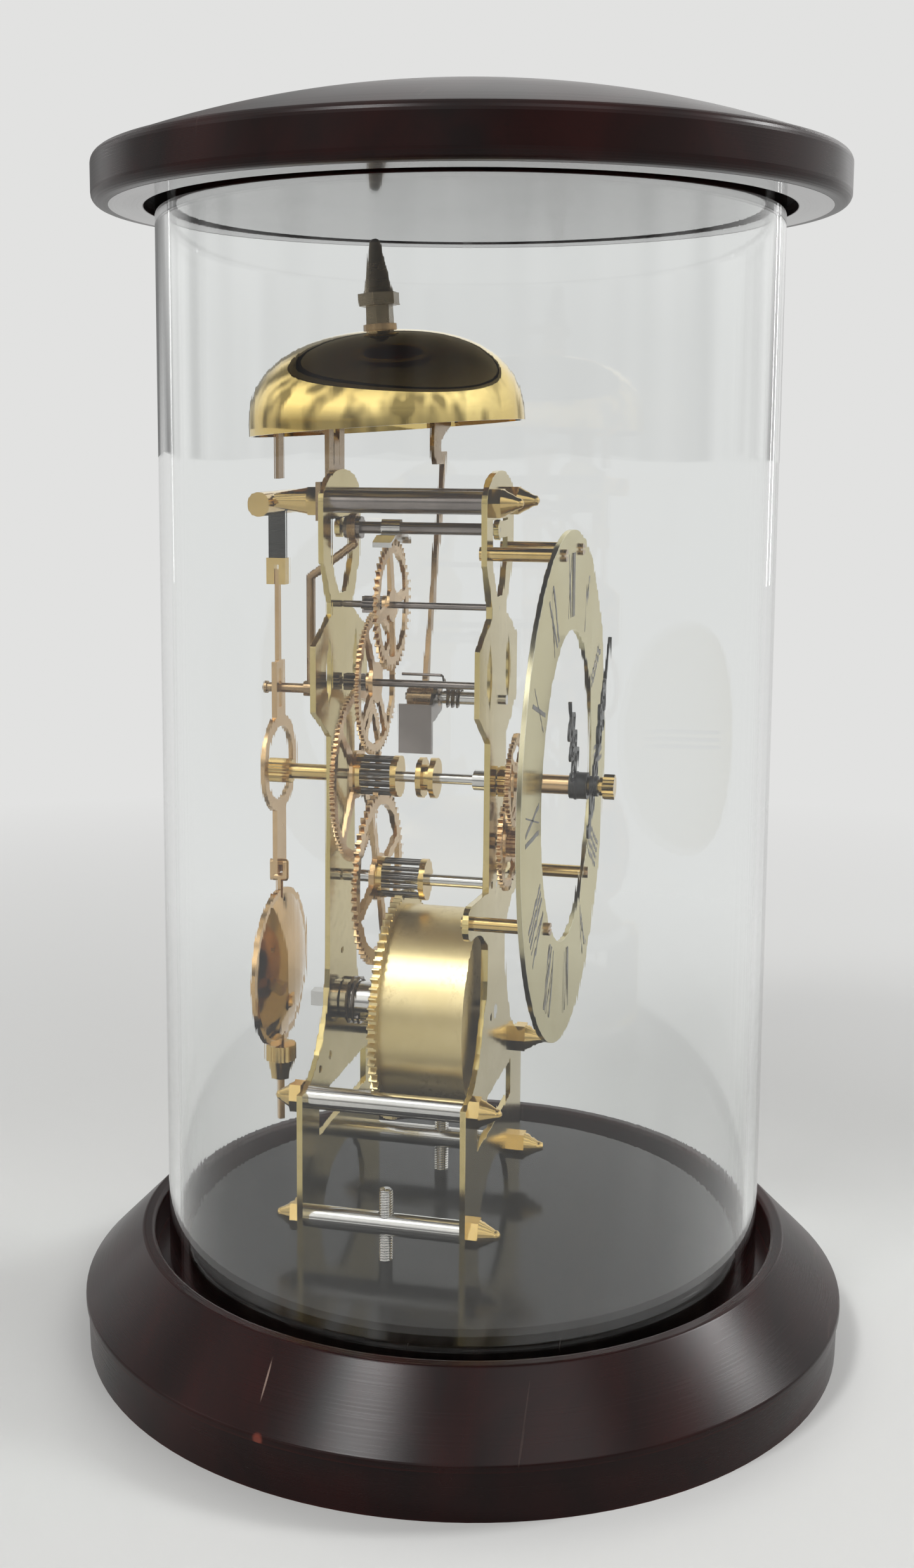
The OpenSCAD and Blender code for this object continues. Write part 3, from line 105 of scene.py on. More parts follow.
def ringPoint(tree, axis, centre=(0, 0, 0)):
    # distance from an axis and height along it, so that a noise on it makes lathe rings
    moved = rowPoint(tree, offset=tuple(-c for c in centre))
    parts = addNode(tree, "ShaderNodeSeparateXYZ", {0: moved})
    across = [k for k in "XYZ" if k != axis]
    flat = addNode(tree, "ShaderNodeCombineXYZ", {k: parts.outputs[k] for k in across}).outputs[0]
    radius = addNode(tree, "ShaderNodeVectorMath", {0: flat}, operation="LENGTH").outputs["Value"]
    return addNode(tree, "ShaderNodeCombineXYZ", {"X": radius, "Y": parts.outputs[axis]}).outputs[0]


def noise(tree, point, size, detail=3.0, rough=0.5, bend=0.0):
    setting = {"Vector": point, "Scale": size, "Detail": detail, "Roughness": rough, "Distortion": bend}
    return addNode(tree, "ShaderNodeTexNoise", setting).outputs["Fac"]


def remap(tree, value, low, high, outLow=0.0, outHigh=1.0):
    span = {"Value": value, "From Min": low, "From Max": high, "To Min": outLow, "To Max": outHigh}
    return addNode(tree, "ShaderNodeMapRange", span).outputs[0]


def times(tree, a, b):
    return addNode(tree, "ShaderNodeMath", {0: a, 1: b}, operation="MULTIPLY").outputs[0]


def plus(tree, a, b):
    return addNode(tree, "ShaderNodeMath", {0: a, 1: b}, operation="ADD").outputs[0]


def tint(tree, amount, first, second):
    colours = [c if isinstance(c, bpy.types.NodeSocket) else (*c, 1.0) for c in (first, second)]
    setting = {0: amount, 6: colours[0], 7: colours[1]}
    return addNode(tree, "ShaderNodeMix", setting, data_type="RGBA").outputs[2]


def dot(tree, a, b):
    return addNode(tree, "ShaderNodeVectorMath", {0: a, 1: b}, operation="DOT_PRODUCT").outputs["Value"]


def edgeOf(tree, radius):
    # rounded normal at sharp edges, and how far it leans from the face: 1 on an edge, 0 on a flat
    soft = addNode(tree, "ShaderNodeBevel", {"Radius": radius}, samples=4).outputs["Normal"]
    plain = addNode(tree, "ShaderNodeNewGeometry").outputs["Normal"]
    return soft, remap(tree, dot(tree, soft, plain), 0.995, 0.86)


def scratches(tree, scale, turn, cut):
    # long thin lines: a noise stretched along one direction and cut high
    lines = noise(tree, rowPoint(tree, scale, turn), 1.0, 2.0, 0.4)
    return remap(tree, lines, cut, cut + 0.015)


def lineMark(tree, start, end, width):
    # 1 along a straight mark between two points, 0 away from it
    along = Vector(end) - Vector(start)
    fromStart = rowPoint(tree, offset=tuple(-c for c in start))
    share = remap(tree, dot(tree, fromStart, along), 0.0, max(along.length_squared, 1e-9))
    near = addNode(tree, "ShaderNodeVectorMath", {0: along, "Scale": share}, operation="SCALE").outputs[0]
    gap = addNode(tree, "ShaderNodeVectorMath", {0: fromStart, 1: near}, operation="DISTANCE")
    return remap(tree, gap.outputs["Value"], width, width * 0.5)


def bump(tree, height, distance, normal=None):
    setting = {"Height": height, "Distance": distance}
    if normal is not None:
        setting["Normal"] = normal
    return addNode(tree, "ShaderNodeBump", setting).outputs["Normal"]


# dark red lacquered wood of the base and the lid
woodLook = {
    "dark": (0.0045, 0.0006, 0.0005),
    "red": (0.0190, 0.0018, 0.0013),
    "edgeRed": (0.060, 0.0070, 0.0040),
    "scratch": (0.42, 0.30, 0.25),
    "chip": (0.16, 0.035, 0.022),
    "rough": (0.26, 0.30),
    "gloss": 0.18,
    "coat": 0.0,
    "scratchFrom": (-0.0841, 0.0257, 0.0293),
    "scratchTo": (-0.0978, 0.0267, 0.0142),
    "scratchWide": 0.30 * mm,
    "chipAt": (-0.0993, 0.0253, 0.0132),
    "chipWide": 1.6 * mm,
    "grain": (9, 60, 40),
    "pores": (60, 1500, 900),
    "patch": 14.0,
    "rings": 2600.0,
    "ringDepth": 0.0003 * mm,
    "hairlines": (16, 420, 30),
    "hairlineTurn": (0.4, 0.2, 0.5),
    "hairlineCut": 0.745,
    "edge": 0.9 * mm,
}
# the same wood with a polished coat, for the flat faces under the lid
polishedWood = {**woodLook, "gloss": 0.27, "coat": 0.37, "rough": (0.10, 0.14)}


def makeWood(name, look):
    material, tree, shader = startFinish(name)
    grain = noise(tree, rowPoint(tree, look["grain"]), 1.0, 4.0, 0.5, 0.6)
    pores = noise(tree, rowPoint(tree, look["pores"]), 1.0, 2.0, 0.5)
    patches = noise(tree, rowPoint(tree), look["patch"], 2.0, 0.5)
    rings = noise(tree, ringPoint(tree, "Z"), look["rings"], 2.0, 0.6)
    edge = edgeOf(tree, look["edge"])[1]
    body = tint(tree, remap(tree, grain, 0.30, 0.75), look["dark"], look["red"])
    body = tint(tree, remap(tree, pores, 0.62, 0.72, 0.0, 0.35), body, look["dark"])
    worn = times(tree, edge, remap(tree, patches, 0.35, 0.65, 0.2, 0.8))
    body = tint(tree, worn, body, look["edgeRed"])
    marks = scratches(tree, look["hairlines"], look["hairlineTurn"], look["hairlineCut"])
    body = tint(tree, times(tree, marks, 0.04), body, look["scratch"])
    deep = lineMark(tree, look["scratchFrom"], look["scratchTo"], look["scratchWide"])
    body = tint(tree, times(tree, deep, remap(tree, pores, 0.25, 0.50, 0.15, 0.60)), body, look["scratch"])
    body = tint(tree, lineMark(tree, look["chipAt"], look["chipAt"], look["chipWide"]), body, look["chip"])
    rough = remap(tree, rings, 0.3, 0.7, *look["rough"])
    rough = plus(tree, rough, remap(tree, patches, 0.4, 0.7, -0.02, 0.05))
    tree.links.new(body, shader.inputs["Base Color"])
    tree.links.new(rough, shader.inputs["Roughness"])
    tree.links.new(bump(tree, rings, look["ringDepth"]), shader.inputs["Normal"])
    shader.inputs["Specular IOR Level"].default_value = look["gloss"]
    shader.inputs["Coat Weight"].default_value = look["coat"]
    return material


# black satin board that the clock stands on
boardLook = {
    "black": (0.0026, 0.0023, 0.0021),
    "brown": (0.0062, 0.0050, 0.0043),
    "scuff": (0.060, 0.055, 0.050),
    "rough": (0.12, 0.18),
    "gloss": 0.19,
    "patch": 22.0,
    "grain": (24, 420, 60),
    "hairlines": (25, 520, 25),
    "hairlineTurn": (0, 0, 0.9),
    "hairlineCut": 0.755,
}


def makeBoard(look):
    material, tree, shader = startFinish("blackBoard")
    cloud = noise(tree, rowPoint(tree), look["patch"], 4.0, 0.6)
    grain = noise(tree, rowPoint(tree, look["grain"]), 1.0, 4.0, 0.6)
    marks = scratches(tree, look["hairlines"], look["hairlineTurn"], look["hairlineCut"])
    body = tint(tree, remap(tree, grain, 0.4, 0.7), look["black"], look["brown"])
    body = tint(tree, times(tree, marks, 0.3), body, look["scuff"])
    rough = plus(tree, remap(tree, cloud, 0.35, 0.65, *look["rough"]), times(tree, marks, 0.12))
    tree.links.new(body, shader.inputs["Base Color"])
    tree.links.new(rough, shader.inputs["Roughness"])
    shader.inputs["Specular IOR Level"].default_value = look["gloss"]
    return material


# clear glass tube with faint drawn streaks along its length
glassLook = {
    "tone": (0.965, 0.975, 0.972),
    "rough": (0.0, 0.035),
    "ripple": 0.010 * mm,
    "index": 1.46,
    "gloss": 0.16,
    "streaks": (520, 520, 2.5),
    "smears": (60, 60, 12),
}


def makeGlass(look):
    material, tree, shader = startFinish("clearTube")
    drawn = noise(tree, rowPoint(tree, look["streaks"]), 1.0, 3.0, 0.55)
    smear = noise(tree, rowPoint(tree, look["smears"]), 1.0, 3.0, 0.6)
    shader.inputs["Base Color"].default_value = (*look["tone"], 1.0)
    shader.inputs["Transmission Weight"].default_value = 1.0
    shader.inputs["IOR"].default_value = look["index"]
    shader.inputs["Specular IOR Level"].default_value = look["gloss"]
    rough = remap(tree, times(tree, drawn, smear), 0.26, 0.42, *look["rough"])
    tree.links.new(rough, shader.inputs["Roughness"])
    tree.links.new(bump(tree, drawn, look["ripple"]), shader.inputs["Normal"])
    clear = addNode(tree, "ShaderNodeBsdfTransparent", {"Color": (*look["tone"], 1.0)})
    shadowRay = addNode(tree, "ShaderNodeLightPath").outputs["Is Shadow Ray"]
    both = addNode(tree, "ShaderNodeMixShader", {0: shadowRay, 1: shader.outputs[0], 2: clear.outputs[0]})
    tree.links.new(both.outputs[0], tree.nodes["Material Output"].inputs["Surface"])
    return material


# metals: two tones that wander, brushing along a direction, stains, bright worn edges
metalLooks = {
    "plateBrass": {
        "first": (0.52, 0.41, 0.155), "second": (0.60, 0.48, 0.22),
        "stain": (0.26, 0.18, 0.06), "edge": (0.93, 0.80, 0.46),
        "rough": (0.10, 0.15), "grain": (700, 40, 60), "patch": 45.0,
        "stains": 0.20, "brush": 0.0002, "round": 0.22,
    },
    "turnedSteel": {
        "first": (0.56, 0.55, 0.53), "second": (0.64, 0.62, 0.59),
        "stain": (0.30, 0.27, 0.24),
        "rough": (0.10, 0.15), "grain": (30, 900, 30), "patch": 60.0,
        "stains": 0.12, "brush": 0.0002,
    },
    "darkSteel": {
        "first": (0.19, 0.165, 0.150), "second": (0.29, 0.255, 0.235),
        "stain": (0.10, 0.075, 0.055),
        "rough": (0.17, 0.23), "grain": (30, 900, 30), "patch": 60.0,
        "stains": 0.20, "brush": 0.0002,
    },
    "springSteel": {
        "first": (0.040, 0.040, 0.036), "second": (0.065, 0.062, 0.055),
        "stain": (0.03, 0.027, 0.022),
        "rough": (0.22, 0.30), "grain": (30, 30, 900), "patch": 60.0,
        "stains": 0.20, "brush": 0.0002,
    },
    "turnedBrass": {
        "first": (0.56, 0.39, 0.14), "second": (0.66, 0.48, 0.20),
        "stain": (0.24, 0.15, 0.05),
        "rough": (0.11, 0.17), "grain": (30, 900, 30), "patch": 70.0,
        "stains": 0.20, "brush": 0.0002,
    },
    "agedBronze": {
        "first": (0.31, 0.205, 0.11), "second": (0.42, 0.29, 0.155),
        "stain": (0.13, 0.085, 0.045), "edge": (0.72, 0.52, 0.30),
        "rough": (0.20, 0.30), "grain": (120, 300, 40), "patch": 80.0,
        "stains": 0.35, "brush": 0.0003, "round": 0.15,
    },
    "finialBronze": {
        "first": (0.17, 0.135, 0.085), "second": (0.25, 0.20, 0.13),
        "stain": (0.08, 0.06, 0.035), "edge": (0.55, 0.44, 0.28),
        "rough": (0.20, 0.30), "grain": (60, 60, 500), "patch": 90.0,
        "stains": 0.30, "brush": 0.0003, "round": 0.15,
    },
    "bellBrass": {
        "first": (0.78, 0.57, 0.20), "second": (0.83, 0.64, 0.26),
        "stain": (0.45, 0.29, 0.09),
        "rough": (0.025, 0.050), "grain": (30, 30, 500), "patch": 30.0,
        "stains": 0.10, "brush": 0.0001,
    },
    "barrelBrass": {
        "first": (0.64, 0.51, 0.25), "second": (0.72, 0.59, 0.32),
        "stain": (0.28, 0.17, 0.06),
        "rough": (0.31, 0.36), "grain": (1400, 900, 1400), "patch": 60.0,
        "stains": 0.45, "brush": 0.0001,
    },
    "wheelBrass": {
        "first": (0.54, 0.36, 0.18), "second": (0.63, 0.44, 0.24),
        "stain": (0.26, 0.15, 0.07), "edge": (0.93, 0.72, 0.44),
        "rough": (0.20, 0.27), "grain": (200, 40, 200), "patch": 60.0,
        "stains": 0.25, "brush": 0.0003, "round": 0.12,
    },
    "roseBrass": {
        "first": (0.56, 0.36, 0.15), "second": (0.64, 0.43, 0.22),
        "stain": (0.33, 0.19, 0.10),
        "rough": (0.05, 0.09), "grain": (30, 30, 400), "patch": 40.0,
        "stains": 0.15, "brush": 0.0001,
    },
}


def makeMetal(name, look):
    material, tree, shader = startFinish(name)
    slow = noise(tree, rowPoint(tree), look["patch"], 3.0, 0.55)
    brushed = noise(tree, rowPoint(tree, look["grain"]), 1.0, 3.0, 0.6)
    specks = noise(tree, rowPoint(tree), look["patch"] * 9, 3.0, 0.65)
    spots = times(tree, remap(tree, slow, 0.48, 0.66), remap(tree, specks, 0.50, 0.68))
    spots = times(tree, spots, look["stains"])
    body = tint(tree, remap(tree, slow, 0.35, 0.65), look["first"], look["second"])
    body = tint(tree, spots, body, look["stain"])
    softEdge = None
    if "round" in look:  # flat stamped pieces show their cut edges
        softEdge, edge = edgeOf(tree, look["round"] * mm)
        body = tint(tree, times(tree, edge, 0.7), body, look["edge"])
    rough = remap(tree, brushed, 0.3, 0.7, *look["rough"])
    rough = plus(tree, rough, times(tree, spots, 0.25))
    tree.links.new(body, shader.inputs["Base Color"])
    tree.links.new(rough, shader.inputs["Roughness"])
    tree.links.new(bump(tree, brushed, look["brush"] * mm, softEdge), shader.inputs["Normal"])
    shader.inputs["Metallic"].default_value = 1.0
    return material


# silvered dial with fine rings round its centre
dialLook = {
    "first": (0.50, 0.440, 0.255),
    "second": (0.56, 0.510, 0.340),
    "stain": (0.30, 0.25, 0.14),
    "edge": (0.95, 0.92, 0.80),
    "rough": (0.12, 0.17),
    "centre": (0.0, 0.0, 150.3 * mm),
    "glance": (0.96, 0.92, 0.76),
    "rings": 3200.0,
    "ringDepth": 0.0002 * mm,
    "patch": 32.0,
    "specks": 650.0,
    "round": 0.2 * mm,
}


def makeDial(look):
    material, tree, shader = startFinish("silveredDial")
    rings = noise(tree, ringPoint(tree, "Y", look["centre"]), look["rings"], 2.0, 0.6)
    slow = noise(tree, rowPoint(tree), look["patch"], 3.0, 0.5)
    specks = noise(tree, rowPoint(tree), look["specks"], 2.0, 0.6)
    softEdge, edge = edgeOf(tree, look["round"])
    body = tint(tree, remap(tree, slow, 0.35, 0.65), look["first"], look["second"])
    body = tint(tree, remap(tree, specks, 0.68, 0.78, 0.0, 0.4), body, look["stain"])
    body = tint(tree, edge, body, look["edge"])
    tree.links.new(body, shader.inputs["Base Color"])
    tree.links.new(remap(tree, rings, 0.3, 0.7, *look["rough"]), shader.inputs["Roughness"])
    tree.links.new(bump(tree, rings, look["ringDepth"], softEdge), shader.inputs["Normal"])
    shader.inputs["Metallic"].default_value = 1.0
    shader.inputs["Specular Tint"].default_value = (*look["glance"], 1.0)
    return material


# black lacquer on the hands, and the grey printing of the numerals
lacquerLooks = {
    "blackLacquer": {
        "first": (0.0060, 0.0060, 0.0065), "second": (0.0150, 0.0145, 0.0145),
        "edge": (0.075, 0.065, 0.055), "rough": (0.26, 0.42),
    },
    "numeralInk": {
        "first": (0.045, 0.040, 0.036), "second": (0.075, 0.066, 0.058),
        "edge": (0.12, 0.11, 0.10), "rough": (0.30, 0.45),
    },
}
lacquerCoat = {"patch": 140.0, "peel": 2400.0, "peelDepth": 0.002 * mm, "round": 0.12 * mm}


def makeLacquer(name, look):
    material, tree, shader = startFinish(name)
    cloud = noise(tree, rowPoint(tree), lacquerCoat["patch"], 3.0, 0.6)
    peel = noise(tree, rowPoint(tree), lacquerCoat["peel"], 2.0, 0.5)
    softEdge, edge = edgeOf(tree, lacquerCoat["round"])
    body = tint(tree, remap(tree, cloud, 0.35, 0.65), look["first"], look["second"])
    body = tint(tree, times(tree, edge, remap(tree, peel, 0.4, 0.6, 0.1, 0.8)), body, look["edge"])
    tree.links.new(body, shader.inputs["Base Color"])
    tree.links.new(remap(tree, cloud, 0.3, 0.7, *look["rough"]), shader.inputs["Roughness"])
    tree.links.new(bump(tree, peel, lacquerCoat["peelDepth"], softEdge), shader.inputs["Normal"])
    return material


# lantern pinions: brass end discs, dark steel bars between them
pinionLook = {"bars": (0.13, 0.12, 0.11), "disc": 1.7 * mm, "blend": 0.05 * mm}


def makePinion(name, node, look):
    material = makeMetal(name, metalLooks["turnedBrass"])
    tree = material.node_tree
    colour = tree.nodes["Principled BSDF"].inputs["Base Color"]
    brass = colour.links[0].from_socket
    low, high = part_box(node)
    along = addNode(tree, "ShaderNodeSeparateXYZ", {0: rowPoint(tree)}).outputs["Y"]
    first, last = low.y + look["disc"], high.y - look["disc"]
    pastFirst = remap(tree, along, first, first + look["blend"])
    beforeLast = remap(tree, along, last, last - look["blend"])
    between = times(tree, pastFirst, beforeLast)
    tree.links.new(tint(tree, between, brass, look["bars"]), colour)
    return material


finishes = {name: makeMetal(name, look) for name, look in metalLooks.items()}
finishes["secondPinion"] = makePinion("secondPinion", "second_pinion", pinionLook)
finishes["centrePinion"] = makePinion("centrePinion", "centre_pinion", pinionLook)
finishes.update({name: makeLacquer(name, look) for name, look in lacquerLooks.items()})
finishes["mahogany"] = makeWood("mahogany", woodLook)
finishes["polishedWood"] = makeWood("polishedWood", polishedWood)
finishes["blackBoard"] = makeBoard(boardLook)
finishes["clearTube"] = makeGlass(glassLook)
finishes["silveredDial"] = makeDial(dialLook)
print("finishes made,", len(finishes))

# which node wears which finish
wears = {
    "mahogany": "base_moulding lid",
    "blackBoard": "floor_board",
    "clearTube": "glass_cylinder",
    "plateBrass": "back_plate front_plate",
    "turnedSteel": "lower_pillars middle_pillars base_studs stud_washers stud_nuts hammer_post winding_arbor"
                   " second_arbor centre_arbor minute_post pallets",
    "darkSteel": "top_pillars hammer_lever third_arbor escape_arbor anchor_arbor hammer_spring wrap_spring"
                 " mainspring",
    "springSteel": "suspension_spring",
    "turnedBrass": "front_pillar_nuts rear_pillar_nuts suspension_bar setting_knob cannon_pinion hand_nut"
                   " dial_pillars lift_cam spring_block rating_nut",
    "secondPinion": "second_pinion",
    "centrePinion": "centre_pinion",
    "agedBronze": "bell_washer bell_stand hammer_arm crutch dial_screws",
    "finialBronze": "bell_finial",
    "bellBrass": "bell",
    "barrelBrass": "barrel_drum barrel_cover barrel_wheel",
    "wheelBrass": "second_wheel centre_wheel third_wheel escape_wheel minute_wheel hour_wheel"
                  " pendulum_strip bob_rod",
    "roseBrass": "pendulum_bob",
    "blackLacquer": "hour_hand minute_hand",
    "silveredDial": "dial_ring",
}
for finish, names in wears.items():
    for name in names.split():
        for slot in nodes[name].material_slots:
            slot.material = finishes[finish]
print("nodes finished")


def addPiece(name, points, faces, finish, smooth=False):
    mesh = bpy.data.meshes.new(name)
    mesh.from_pydata(points, [], faces)
    mesh.materials.append(finishes[finish])
    if smooth:
        mesh.shade_smooth()
    piece = bpy.data.objects.new(name, mesh)
    scene.collection.objects.link(piece)
    return piece


def threadRows(centre, low, high, radius, look):
    # rings of points up a screw thread; the crest climbs one pitch in each turn
    pitch, depth, around, steps = (look[key] for key in ("pitch", "depth", "around", "steps"))
    count = int(math.ceil((high - low) / pitch * steps))
    points = []
    for row in range(count + 1):
        z = low + (high - low) * row / count
        fade = min(1.0, (high - z) / pitch, (z - low) / pitch)
        for k in range(around):
            share = (z / pitch - k / around) % 1.0
            r = radius - depth * (1.0 - fade) - depth * fade * abs(2.0 * share - 1.0)
            angle = 2.0 * math.pi * k / around
            points.append((centre[0] + r * math.cos(angle), centre[1] + r * math.sin(angle), z))
    faces = []
    for row in range(count):
        for k in range(around):
            a, b = row * around + k, row * around + (k + 1) % around
            faces.append((a, b, b + around, a + around))
    faces.append(tuple(reversed(range(around))))
    faces.append(tuple(range(count * around, (count + 1) * around)))
    return points, faces


def joinParts(parts):
    points, faces = [], []
    for morePoints, moreFaces in parts:
        start = len(points)
        points += morePoints
        faces += [tuple(start + k for k in face) for face in moreFaces]
    return points, faces


def spinLoop(loop, around, place):
    # a closed outline of radii and heights spun round an axis
    points = []
    for r, z in loop:
        for k in range(around):
            angle = 2.0 * math.pi * k / around
            points.append(place @ Vector((r * math.cos(angle), r * math.sin(angle), z)))
    faces = []
    for row in range(len(loop)):
        below = (row + 1) % len(loop)
        for k in range(around):
            after = (k + 1) % around
            faces.append((row * around + k, below * around + k, below * around + after, row * around + after))
    return points, faces


# the bell turned smooth: its outer and inner curve spun round the leaning axis
bellTurn = {
    "crown": (0.0, 23.55 * mm, 268.4 * mm),
    "leanDegrees": -4.0,
    "outer": (36.5 * mm, 25.4 * mm),
    "inner": (35.5 * mm, 24.4 * mm),
    "wall": 1.0 * mm,
    "hole": 1.85 * mm,
    "fullness": (0.86, 0.8),
    "rows": 44,
    "around": 160,
    "sharpDegrees": 40,
}


def bellCurve(radius, height, drop, look):
    # from the hole in the crown down to the rim
    sideways, downward = look["fullness"]
    profile = []
    for k in range(look["rows"] + 1):
        angle = math.pi / 2 * k / look["rows"]
        r = radius * math.sin(angle) ** sideways
        z = -height * (1.0 - max(math.cos(angle), 0.0) ** downward) - drop
        profile.append((max(r, look["hole"]), z))
    return profile


def makeBell(look):
    outside = bellCurve(*look["outer"], 0.0, look)
    inside = bellCurve(*look["inner"], look["wall"], look)
    lean = Matrix.Translation(look["crown"]) @ Matrix.Rotation(math.radians(look["leanDegrees"]), 4, "X")
    points, faces = spinLoop(outside + inside[::-1], look["around"], lean)
    bell = addPiece("turnedBell", points, faces, "bellBrass", smooth=True)
    bell.data.set_sharp_from_angle(angle=math.radians(look["sharpDegrees"]))
    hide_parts("bell")
    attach(bell, "base")


makeBell(bellTurn)

# polished flat faces under the lid, inside and outside the groove for the glass
lidFaces = {"plug": (0.2 * mm, 74.6 * mm), "ring": (83.0 * mm, 91.5 * mm), "thick": 0.06 * mm, "around": 128}


def makeLidFaces(look):
    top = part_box("lid")[0].z + look["thick"] / 3
    under = top - look["thick"]
    parts = []
    for inner, outer in (look["plug"], look["ring"]):
        loop = [(inner, top), (outer, top), (outer, under), (inner, under)]
        parts.append(spinLoop(loop, look["around"], Matrix()))
    lidUnderside = addPiece("lidUnderside", *joinParts(parts), "polishedWood")
    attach(lidUnderside, "lid")


makeLidFaces(lidFaces)

# threaded studs that hold the clock down
studThread = {"across": 31.0 * mm, "pitch": 0.7 * mm, "depth": 0.45 * mm, "around": 28, "steps": 6}


def makeStuds(look):
    low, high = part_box("base_studs")
    middle = (low.y + high.y) / 2
    radius = (high.y - low.y) / 2
    parts = [threadRows((side * look["across"], middle), low.z, high.z, radius, look) for side in (-1, 1)]
    studs = addPiece("threadedStuds", *joinParts(parts), "turnedSteel", smooth=True)
    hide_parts("base_studs")
    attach(studs, "base")


makeStuds(studThread)

# thread on the pendulum rod below the rating nut
rodThread = {
    "top": 76.0 * mm,
    "radius": 1.1 * mm,
    "proud": 0.03 * mm,
    "pitch": 0.5 * mm,
    "depth": 0.22 * mm,
    "around": 24,
    "steps": 6,
}


def makeRodThread(look):
    low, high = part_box("bob_rod")
    bobFront, bobBack = (corner.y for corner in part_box("pendulum_bob"))
    centre = ((low.x + high.x) / 2, bobFront / 2 + bobBack / 2)
    points, faces = threadRows(centre, low.z, look["top"], look["radius"] + look["proud"], look)
    thread = addPiece("rodThread", points, faces, "wheelBrass", smooth=True)
    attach(thread, "pendulum")


# Roman numerals printed on the dial
numeralLook = {
    "middle": 52.6 * mm,
    "tall": 16.7 * mm,
    "thick": 1.15 * mm,
    "thin": 0.40 * mm,
    "gap": 1.15 * mm,
    "slant": 0.26,
    "proud": 0.05 * mm,
    "sunk": 0.02 * mm,
    "hours": ("XII", "I", "II", "III", "IIII", "V", "VI", "VII", "VIII", "IX", "X", "XI"),
}


def numeralStrokes(word, look):
    # each stroke: foot and head across the numeral, and its width; then the numeral's whole width
    slantedWide = look["tall"] * look["slant"]
    widths = {"I": look["thick"], "V": slantedWide + look["thick"], "X": slantedWide + look["thick"]}
    strokes, at = [], 0.0
    for letter in word:
        wide = widths[letter]
        left, right = at + look["thick"] / 2, at + wide - look["thick"] / 2
        if letter == "I":
            strokes.append((left, left, look["thick"]))
        elif letter == "V":
            strokes.append(((left + right) / 2, left, look["thick"]))
            strokes.append(((left + right) / 2, right, look["thin"]))
        else:
            strokes.append((right, left, look["thick"]))
            strokes.append((left, right, look["thin"]))
        at += wide + look["gap"]
    return strokes, at - look["gap"]


def strokeBlock(corners, front, back):
    # a thin block on the dial from four corners in its plane
    points = [(x, front, z) for x, z in corners] + [(x, back, z) for x, z in corners]
    faces = [(0, 1, 2, 3), (7, 6, 5, 4)] + [(k, k + 4, (k + 1) % 4 + 4, (k + 1) % 4) for k in range(4)]
    return points, faces


def makeNumerals(look):
    low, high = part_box("dial_ring")
    centre = Vector(((low.x + high.x) / 2, (low.z + high.z) / 2))
    front, back = low.y - look["proud"], low.y + look["sunk"]
    for hour, word in enumerate(look["hours"]):
        angle = math.radians(30 * hour)
        out = Vector((math.sin(angle), math.cos(angle)))
        along = Vector((math.cos(angle), -math.sin(angle)))
        strokes, wide = numeralStrokes(word, look)
        foot = centre + out * (look["middle"] - look["tall"] / 2)
        head = centre + out * (look["middle"] + look["tall"] / 2)
        parts = []
        for footAt, headAt, width in strokes:
            a, b = footAt - wide / 2, headAt - wide / 2
            half = width / 2
            footCorners = [foot + along * (a - half), foot + along * (a + half)]
            headCorners = [head + along * (b + half), head + along * (b - half)]
            parts.append(strokeBlock(footCorners + headCorners, front, back))
        numeral = addPiece("numeral" + str(hour or 12), *joinParts(parts), "numeralInk")
        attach(numeral, "base")


# pierced scrolls of the hands; each runs along its hand from the hub
scrollLooks = {
    "hourScrolls": {
        "body": "hour", "turn": -27.0, "plane": -30.28 * mm, "from": 4.0 * mm, "to": 22.0 * mm,
        "wide": 6.6 * mm, "waves": 1.5, "strip": 1.1 * mm,
    },
    "minuteScrolls": {
        "body": "centre", "turn": 36.0, "plane": -34.88 * mm, "from": 15.0 * mm, "to": 32.0 * mm,
        "wide": 2.8 * mm, "waves": 1.5, "strip": 0.9 * mm,
    },
    "hubScrolls": {
        "body": "centre", "turn": 36.0, "plane": -34.88 * mm, "from": -9.0 * mm, "to": 9.0 * mm,
        "wide": 3.8 * mm, "waves": 1.0, "strip": 0.9 * mm,
    },
}
scrollPlate = 0.55 * mm
scrollSteps = 48
scrollTaper = 0.3


def scrollStrip(path, strip, front, back):
    # a flat bent strip along points in the hand's plane
    points, faces = [], []
    for k, here in enumerate(path):
        run = path[min(k + 1, len(path) - 1)] - path[max(k - 1, 0)]
        side = Vector((-run.y, run.x)).normalized() * strip / 2
        corners = [here + side, here - side]
        points += [(c.x, front, c.y) for c in corners] + [(c.x, back, c.y) for c in reversed(corners)]
    for k in range(len(path) - 1):
        for j in range(4):
            a, b = k * 4 + j, k * 4 + (j + 1) % 4
            faces.append((a, b, b + 4, a + 4))
    end = len(points) - 4
    faces += [(3, 2, 1, 0), (end, end + 1, end + 2, end + 3)]
    return points, faces


def makeScrolls(looks):
    low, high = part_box("dial_ring")
    centre = Vector(((low.x + high.x) / 2, (low.z + high.z) / 2))
    for name, look in looks.items():
        angle = math.radians(look["turn"])
        out = Vector((math.sin(angle), math.cos(angle)))
        across = Vector((math.cos(angle), -math.sin(angle)))
        front = look["plane"]
        parts = []
        for side in (-1, 1):
            path = []
            for k in range(scrollSteps + 1):
                share = k / scrollSteps
                wave = math.sin(2.0 * math.pi * look["waves"] * share)
                swing = look["wide"] * wave * (1.0 - scrollTaper * share)
                reach = look["from"] + (look["to"] - look["from"]) * share
                path.append(centre + out * reach + across * side * swing)
            parts.append(scrollStrip(path, look["strip"], front, front + scrollPlate))
        scrolls = addPiece(name, *joinParts(parts), "blackLacquer")
        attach(scrolls, look["body"])


